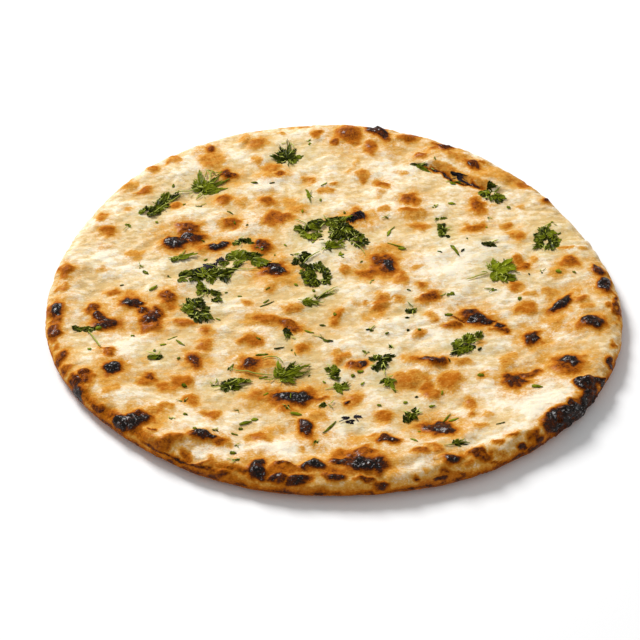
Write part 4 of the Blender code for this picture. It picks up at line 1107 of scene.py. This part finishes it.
def leaflet(length, width, squeeze, rng):
    """A fan-shaped leaflet with toothed lobes and its tip along +X: its points, faces, paleness and veins."""
    across = np.linspace(-1.0, 1.0, SPOKES)
    lobe = LEAFLET["lobes"] * (across + 1.0)
    lobed = 1.0 - LEAFLET["cut"] * (1.0 - np.abs(np.sin(math.pi * lobe))) ** LEAFLET["cut_power"]
    toothed = 1.0 - LEAFLET["tooth"] * (1.0 - np.abs(np.sin(LEAFLET["teeth"] * math.pi * lobe)))
    uneven = np.interp(across, np.linspace(-1.0, 1.0, 5), rng.uniform(0.7, 1.1, 5))
    uneven = uneven * rng.uniform(0.92, 1.06, SPOKES)
    reach = lobed * toothed * (1.0 - 0.2 * across**2) * uneven
    share = np.array(RINGS)[:, None]
    turn = math.radians(LEAFLET["half_angle"]) * across
    x = length * share * (reach * np.cos(turn))
    y = 0.5 * width * share * (reach * np.sin(turn))
    rolled = np.abs(np.sin(LEAFLET_LIFT["roll_waves"] * y + rng.uniform(0, 3)))
    waved = LEAFLET_LIFT["waves"] * np.cos(2 * math.pi * lobe)
    waved = waved + LEAFLET_LIFT["rough"] * rng.normal(size=SPOKES)
    z = share * waved + (1.0 - squeeze) * LEAFLET_LIFT["roll"] * rolled
    ribs = np.where(np.abs(lobe % 1.0 - 0.5) < 0.05, 0.5, 0.0) * (share < 0.9)
    tips = rng.choice((0.0, 0.0, 0.3), SPOKES) * (share > 0.9)
    pale = LEAFLET_PALE["share"] * (share - LEAFLET_PALE["from"])
    pale = pale + LEAFLET_PALE["swing"] * rng.normal(size=SPOKES)
    points = np.stack([x, squeeze * y, z], axis=2).reshape(-1, 3)
    return points, sheet_faces(len(RINGS), SPOKES), pale.ravel(), (ribs + tips).ravel()


def strand(length, width, squeeze, rng):
    """A thin torn strand along +X, bent to one side: its points, faces, paleness and a share of vein colour,
    a painted glint.
    """
    share = np.linspace(0.0, 1.0, STRAND_STEPS)
    half = 0.5 * width * np.sin(math.pi * (0.08 + 0.9 * share)) ** 0.6 * rng.uniform(0.55, 1.2, STRAND_STEPS)
    bend = rng.uniform(-STRAND["bend"], STRAND["bend"]) * length * share**2
    rows = []
    for side in (1.0, 0.0, -1.0):
        lift = STRAND["lift"] + STRAND["ridge"] * half * (side == 0)
        rows.append(np.stack([share * length, bend + side * half, lift], axis=1))
    # Many strands get a painted glint in the vein colour
    paleness, vein_and_glint = rng.uniform(0.2, 0.6), rng.choice((0.1, 0.5, 0.9)) * squeeze
    points = np.stack(rows, axis=1).reshape(-1, 3)
    return points, sheet_faces(STRAND_STEPS, 3), np.full(len(points), paleness), np.full(len(points), vein_and_glint)


def strands_over(length, width, rng):
    """Thin strands over a leaf: (maker, x, y, bearing, length, width, squeeze)."""
    for _ in range(max(2, int(length * width / STRAND_AREA))):
        angle, reach = rng.uniform(0, 2 * math.pi), 0.32 * math.sqrt(rng.uniform())
        x, y = reach * length * math.cos(angle), reach * width * math.sin(angle)
        bearing = math.degrees(angle) + rng.uniform(-90, 90)
        yield strand, x, y, bearing, rng.uniform(*STRAND["lengths"]), rng.uniform(*STRAND["widths"]), 1.0


def fan_parts(length, width, rng):
    """Leaflets spread round a stem."""
    for turn in (-75, -35, 0, 35, 75):
        bearing = turn + rng.uniform(-12, 12)
        long = rng.uniform(0.45, 0.62) * length
        yield leaflet, -0.14 * length, 0.0, bearing, long, 0.6 * width, rng.uniform(0.65, 1.0)
    for _ in range(2):
        x, y = rng.uniform(-0.25, 0.2) * length, rng.uniform(-0.25, 0.25) * width
        yield leaflet, x, y, rng.uniform(-75, 75), 0.36 * length, 0.45 * width, rng.uniform(0.6, 0.9)


def band_parts(length, width, rng):
    """Leaflets folded and overlapping along a band."""
    for x in np.linspace(-0.45, 0.25, max(4, int(length / BAND_STEP))) * length:
        y = rng.uniform(-0.15, 0.15) * width
        bearing, long = rng.uniform(-35, 35), rng.uniform(0.3, 0.42) * length
        yield leaflet, x, y, bearing, long, 1.1 * width, rng.uniform(0.6, 0.95)
        side = rng.choice((-1.0, 1.0))
        yield leaflet, x, 0.15 * side * width, side * rng.uniform(30, 90), 0.5 * width, 0.9 * width, 0.8


def heap_parts(length, width, rng):
    """Crumpled leaflets heaped in all directions."""
    size = math.sqrt(length * width)
    for _ in range(max(3, int(length * width / HEAP_AREA))):
        angle, reach = rng.uniform(0, 2 * math.pi), 0.3 * rng.uniform() ** 0.6
        x, y = reach * length * math.cos(angle), reach * width * math.sin(angle)
        bearing, long = math.degrees(angle) + rng.uniform(-110, 110), rng.uniform(0.34, 0.54) * size
        yield leaflet, x, y, bearing, long, 0.75 * size, rng.uniform(0.6, 1.0)


def scrap_parts(length, width, rng):
    """A torn scrap of two leaflets."""
    for place, turn in ((-0.4, 12), (-0.2, -20)):
        bearing = turn + rng.uniform(-10, 10)
        yield leaflet, place * length, 0.0, bearing, 0.65 * length, 1.3 * width, rng.uniform(0.6, 0.9)


def speck_parts(length, width, rng):
    """A single speck."""
    yield strand, -0.5 * length, 0.0, 0.0, length, width, 0.0


LEAF_FORMS = {
    "feathery": fan_parts, "leafy": band_parts, "crumpled": heap_parts, "blade": scrap_parts,
    "speck": speck_parts,
}


def leaf_parts(form, length, width, rng):
    """A leaf's leaflets and strands in its own plane, fitted to its length and width."""
    places = list(LEAF_FORMS[form](length, width, rng))
    if form != "speck":
        places += strands_over(length, width, rng)
    parts = []
    for make, x, y, bearing, long, wide, squeeze in places:
        points, faces, pale, vein_and_glint = make(long, wide, squeeze, rng)
        turn = math.radians(bearing)
        along, across = points[:, 0].copy(), points[:, 1].copy()
        points[:, 0] = x + along * math.cos(turn) - across * math.sin(turn)
        points[:, 1] = y + along * math.sin(turn) + across * math.cos(turn)
        points[:, 2] += rng.uniform(*TILT["along"]) * along + rng.uniform(*TILT["across"]) * across
        parts.append((points, faces, pale, vein_and_glint))
    plan = np.concatenate([part[0][:, :2] for part in parts])
    low, high = plan.min(axis=0), plan.max(axis=0)
    for points, *_ in parts:
        points[:, :2] = (points[:, :2] - (low + high) / 2) * np.array([length, width]) / (high - low)
    return parts


def leaves_mesh(name, leaves, curl, seed):
    """Leaves laid on the bread as one mesh of lobed leaflets and thin strands."""
    rng = np.random.default_rng(seed)
    plan, lifts, faces, tones, veins, count = [], [], [], [], [], 0
    for x, y, length, width, bearing, form, tone in leaves:
        turn = math.radians(bearing)
        size = min(1.0, min(length, width) / FLAT_BELOW)
        for points, quads, pale, vein_and_glint in leaf_parts(form, length, width, rng):
            pile = rng.uniform()
            px = x + points[:, 0] * math.cos(turn) - points[:, 1] * math.sin(turn)
            py = y + points[:, 0] * math.sin(turn) + points[:, 1] * math.cos(turn)
            plan.append(np.stack([px, py]))
            lifts.append(np.maximum(LEAST_LIFT, size * (curl * pile + points[:, 2])))
            faces.append(quads + count)
            # Lower parts are darker: painted shade between the heaped leaflets
            swing = rng.uniform(-TONE_AND_PILE_SHADE["swing"], TONE_AND_PILE_SHADE["swing"])
            tones.append(tone + TONE_AND_PILE_SHADE["pile"] * (pile - TONE_AND_PILE_SHADE["middle"]) + swing + pale)
            veins.append(vein_and_glint)
            count += len(points)
    px, py = np.concatenate(plan, axis=1)
    height = surface_at(px, py) + np.concatenate(lifts)
    mesh = bpy.data.meshes.new(name)
    mesh.from_pydata((np.stack([px, py, height], axis=1) * MM).tolist(), [], np.concatenate(faces).tolist())
    store(mesh, "tone", np.concatenate(tones))
    store(mesh, "vein_and_glint", np.concatenate(veins))
    shade_smooth(mesh)
    return mesh


def thicken(piece, thickness):
    """Give a sheet its thickness and keep the result as the piece's mesh."""
    modifier = piece.modifiers.new("Thickness", "SOLIDIFY")
    modifier.thickness = thickness
    modifier.offset = 1.0
    bpy.context.view_layer.update()
    mesh = bpy.data.meshes.new_from_object(piece.evaluated_get(bpy.context.evaluated_depsgraph_get()))
    piece.modifiers.clear()
    piece.data = mesh


def lay_leaves(name, leaves, seed, material):
    """Lay larger leaves on the bread as one piece, in place of their CAD nodes."""
    herbs = settings()[1]
    mesh = leaves_mesh(name, [leaf[1:] for leaf in leaves], herbs.curl / MM, seed)
    mesh.materials.append(material)
    thicken(new_piece(name, mesh, ["coriander_" + leaf[0] for leaf in leaves]), herbs.thickness)


class NAAN_OT_lay_leaves(bpy.types.Operator):
    """Lay the larger green leaves on the bread"""

    bl_idname = "naan.lay_leaves"
    bl_label = "Lay the leaves"

    def execute(self, context):
        herbs = settings()[1]
        colours = {"Dark": herbs.dark, "Bright": herbs.bright, "Streak colour": herbs.vein_and_glint}
        green = leaf_material("Coriander leaf", leaf_group(), colours, roughness=0.34)
        lay_leaves("coriander_leaves", LEAVES, SEEDS["leaves"], green)
        return {"FINISHED"}


class NAAN_OT_lay_charred(bpy.types.Operator):
    """Lay the leaves that burnt in the oven"""

    bl_idname = "naan.lay_charred"
    bl_label = "Lay the charred leaves"

    def execute(self, context):
        herbs = settings()[1]
        colours = {"Dark": herbs.charred, "Bright": herbs.ash_and_glint, "Streak colour": herbs.ash_and_glint}
        black = leaf_material("Charred leaf", bpy.data.node_groups["Leaf"], colours, roughness=0.3)
        lay_leaves("charred_leaves", CHARRED_LEAVES, SEEDS["charred"], black)
        return {"FINISHED"}


def loose_bits():
    """Tiny bits of leaf, most of them near a leaf."""
    rng = np.random.default_rng(SEEDS["bits"])
    bits = []
    for _ in range(LOOSE_BITS):
        near = LEAVES[rng.integers(len(LEAVES))]
        x, y = near[1] + rng.normal(0, BIT_SCATTER[0]), near[2] + rng.normal(0, BIT_SCATTER[1])
        if math.hypot(x, y) < LOOSE_WITHIN:
            long, wide = rng.uniform(*BIT_LENGTHS), rng.uniform(*BIT_WIDTHS)
            bits.append((x, y, long, wide, rng.uniform(0, 180), "speck", rng.uniform(0, 0.7)))
    return bits


class NAAN_OT_scatter_flecks(bpy.types.Operator):
    """Scatter the small chopped flecks"""

    bl_idname = "naan.scatter_flecks"
    bl_label = "Scatter the flecks"

    def execute(self, context):
        herbs = settings()[1]
        listed = []
        for x, y, long, wide, bearing, tone in FLECKS:
            form = "speck" if min(long, wide) < SPECK_BELOW else "crumpled"
            listed.append((x, y, long, wide, bearing, form, tone))
        mesh = leaves_mesh("coriander_flecks", listed + loose_bits(), herbs.curl / MM, SEEDS["flecks"])
        mesh.materials.append(bpy.data.materials["Coriander leaf"])
        thicken(new_piece("coriander_flecks", mesh), herbs.thickness)
        return {"FINISHED"}


def stalk_tube(path, half_width, sides=STALK_SIDES, steps=STALK_STEPS):
    """A thin round stalk laid on the bread: its points and faces."""
    share = np.linspace(0.0, 1.0, steps)[:, None]
    first, middle, last = np.array(path, dtype=float)
    pull = 2 * middle - (first + last) / 2
    curve = (1 - share) ** 2 * first + 2 * share * (1 - share) * pull + share**2 * last
    height = surface_at(curve[:, 0], curve[:, 1]) + half_width + STALK_LIFT
    forward = np.gradient(curve, axis=0)
    forward /= np.linalg.norm(forward, axis=1)[:, None]
    left = np.stack([-forward[:, 1], forward[:, 0]], axis=1)
    taper = half_width * (0.45 + 0.55 * np.sin(math.pi * np.clip(share[:, 0] * 0.9 + 0.08, 0, 1)))
    rings = []
    for turn in np.arange(sides) * 2 * math.pi / sides:
        plan = curve + left * (taper * math.cos(turn))[:, None]
        rings.append(np.stack([plan[:, 0], plan[:, 1], height + taper * math.sin(turn)], axis=1))
    points = np.stack(rings, axis=1).reshape(-1, 3)
    faces = []
    for start in range(0, (steps - 1) * sides, sides):
        for side in range(sides):
            corner, beside = start + side, start + (side + 1) % sides
            faces.append((corner, beside, beside + sides, corner + sides))
    faces.append(tuple(reversed(range(sides))))
    faces.append(tuple(range((steps - 1) * sides, steps * sides)))
    return points, faces


class NAAN_OT_lay_stalks(bpy.types.Operator):
    """Lay the pale stalks and bare veins"""

    bl_idname = "naan.lay_stalks"
    bl_label = "Lay the stalks"

    def execute(self, context):
        points, faces = [], []
        for half_width, path in STALKS:
            tube, sides = stalk_tube(path, half_width)
            faces += [tuple(index + len(points) for index in face) for face in sides]
            points += tube.tolist()
        mesh = bpy.data.meshes.new("coriander_stalks")
        mesh.from_pydata((np.array(points) * MM).tolist(), [], faces)
        store(mesh, "tone", np.full(len(points), STALK_TONE))
        store(mesh, "vein_and_glint", np.full(len(points), STALK_VEIN))
        shade_smooth(mesh)
        mesh.materials.append(bpy.data.materials["Coriander leaf"])
        new_piece("coriander_stalks", mesh)
        return {"FINISHED"}


class NAAN_OT_set_stage(bpy.types.Operator):
    """Set the floor, the lights and the camera"""

    bl_idname = "naan.set_stage"
    bl_label = "Set the stage"

    def execute(self, context):
        stage = settings()[2]
        scene = context.scene
        scene.view_settings.view_transform = "Standard"
        self.add_floor(stage)
        self.add_lights(scene, stage)
        self.add_camera(scene, stage)
        return {"FINISHED"}

    def add_floor(self, stage):
        mesh = bpy.data.meshes.new("floor")
        bm = bmesh.new()
        bmesh.ops.create_grid(bm, x_segments=1, y_segments=1, size=FLOOR_HALF)
        bm.to_mesh(mesh)
        bm.free()
        floor = bpy.data.objects.new("floor", mesh)
        bpy.context.scene.collection.objects.link(floor)
        material, _, shader = new_material("Pale floor", roughness=0.8, specular=0.2)
        shader.inputs["Base Color"].default_value = (*stage.floor_colour, 1.0)
        mesh.materials.append(material)

    def add_lights(self, scene, stage):
        world = bpy.data.worlds.new("Soft white")
        world.use_nodes = True
        background = world.node_tree.nodes["Background"]
        background.inputs["Color"].default_value = (1.0, 1.0, 1.0, 1.0)
        background.inputs["Strength"].default_value = stage.sky
        scene.world = world
        key = bpy.data.lights.new("Key", "AREA")
        key.energy = stage.key
        key.shape = "DISK"
        key.size = KEY_WIDTH
        lamp = bpy.data.objects.new("Key", key)
        lamp.location = KEY_PLACE
        lamp.rotation_euler = (-Vector(KEY_PLACE)).to_track_quat("-Z", "Y").to_euler()
        scene.collection.objects.link(lamp)

    def add_camera(self, scene, stage):
        camera = bpy.data.cameras.new("Camera")
        camera.lens = stage.lens
        camera.sensor_width = SENSOR_WIDTH
        camera.clip_start = NEAREST
        viewer = bpy.data.objects.new("Camera", camera)
        back = Vector((0.0, -math.cos(stage.elevation), math.sin(stage.elevation)))
        viewer.location = Vector(stage.aim) + stage.distance * back
        viewer.rotation_euler = back.to_track_quat("Z", "Y").to_euler()
        scene.collection.objects.link(viewer)
        scene.camera = viewer


class NAAN_PT_sidebar(bpy.types.Panel):
    """The naan's settings and steps"""

    bl_idname = "NAAN_PT_sidebar"
    bl_label = "Naan"
    bl_space_type = "VIEW_3D"
    bl_region_type = "UI"
    bl_category = "Naan"

    def draw(self, context):
        for group in settings():
            column = self.layout.column(align=True)
            for name in group.__annotations__:
                column.prop(group, name)
        for step in STEPS:
            self.layout.operator(step.bl_idname)


STEPS = (
    NAAN_OT_bake_bread, NAAN_OT_lay_leaves, NAAN_OT_lay_charred, NAAN_OT_scatter_flecks, NAAN_OT_lay_stalks,
    NAAN_OT_set_stage,
)
CLASSES = (BreadSettings, HerbSettings, StageSettings, *STEPS, NAAN_PT_sidebar)


def register():
    for made in CLASSES:
        bpy.utils.register_class(made)
    bpy.types.Scene.naan_bread = PointerProperty(type=BreadSettings)
    bpy.types.Scene.naan_herbs = PointerProperty(type=HerbSettings)
    bpy.types.Scene.naan_stage = PointerProperty(type=StageSettings)


def unregister():
    for name in ("naan_bread", "naan_herbs", "naan_stage"):
        delattr(bpy.types.Scene, name)
    for made in reversed(CLASSES):
        bpy.utils.unregister_class(made)


def main():
    register()
    bpy.ops.naan.bake_bread()
    bpy.ops.naan.lay_leaves()
    bpy.ops.naan.lay_charred()
    bpy.ops.naan.scatter_flecks()
    bpy.ops.naan.lay_stalks()
    bpy.ops.naan.set_stage()


if __name__ == "__main__":
    main()
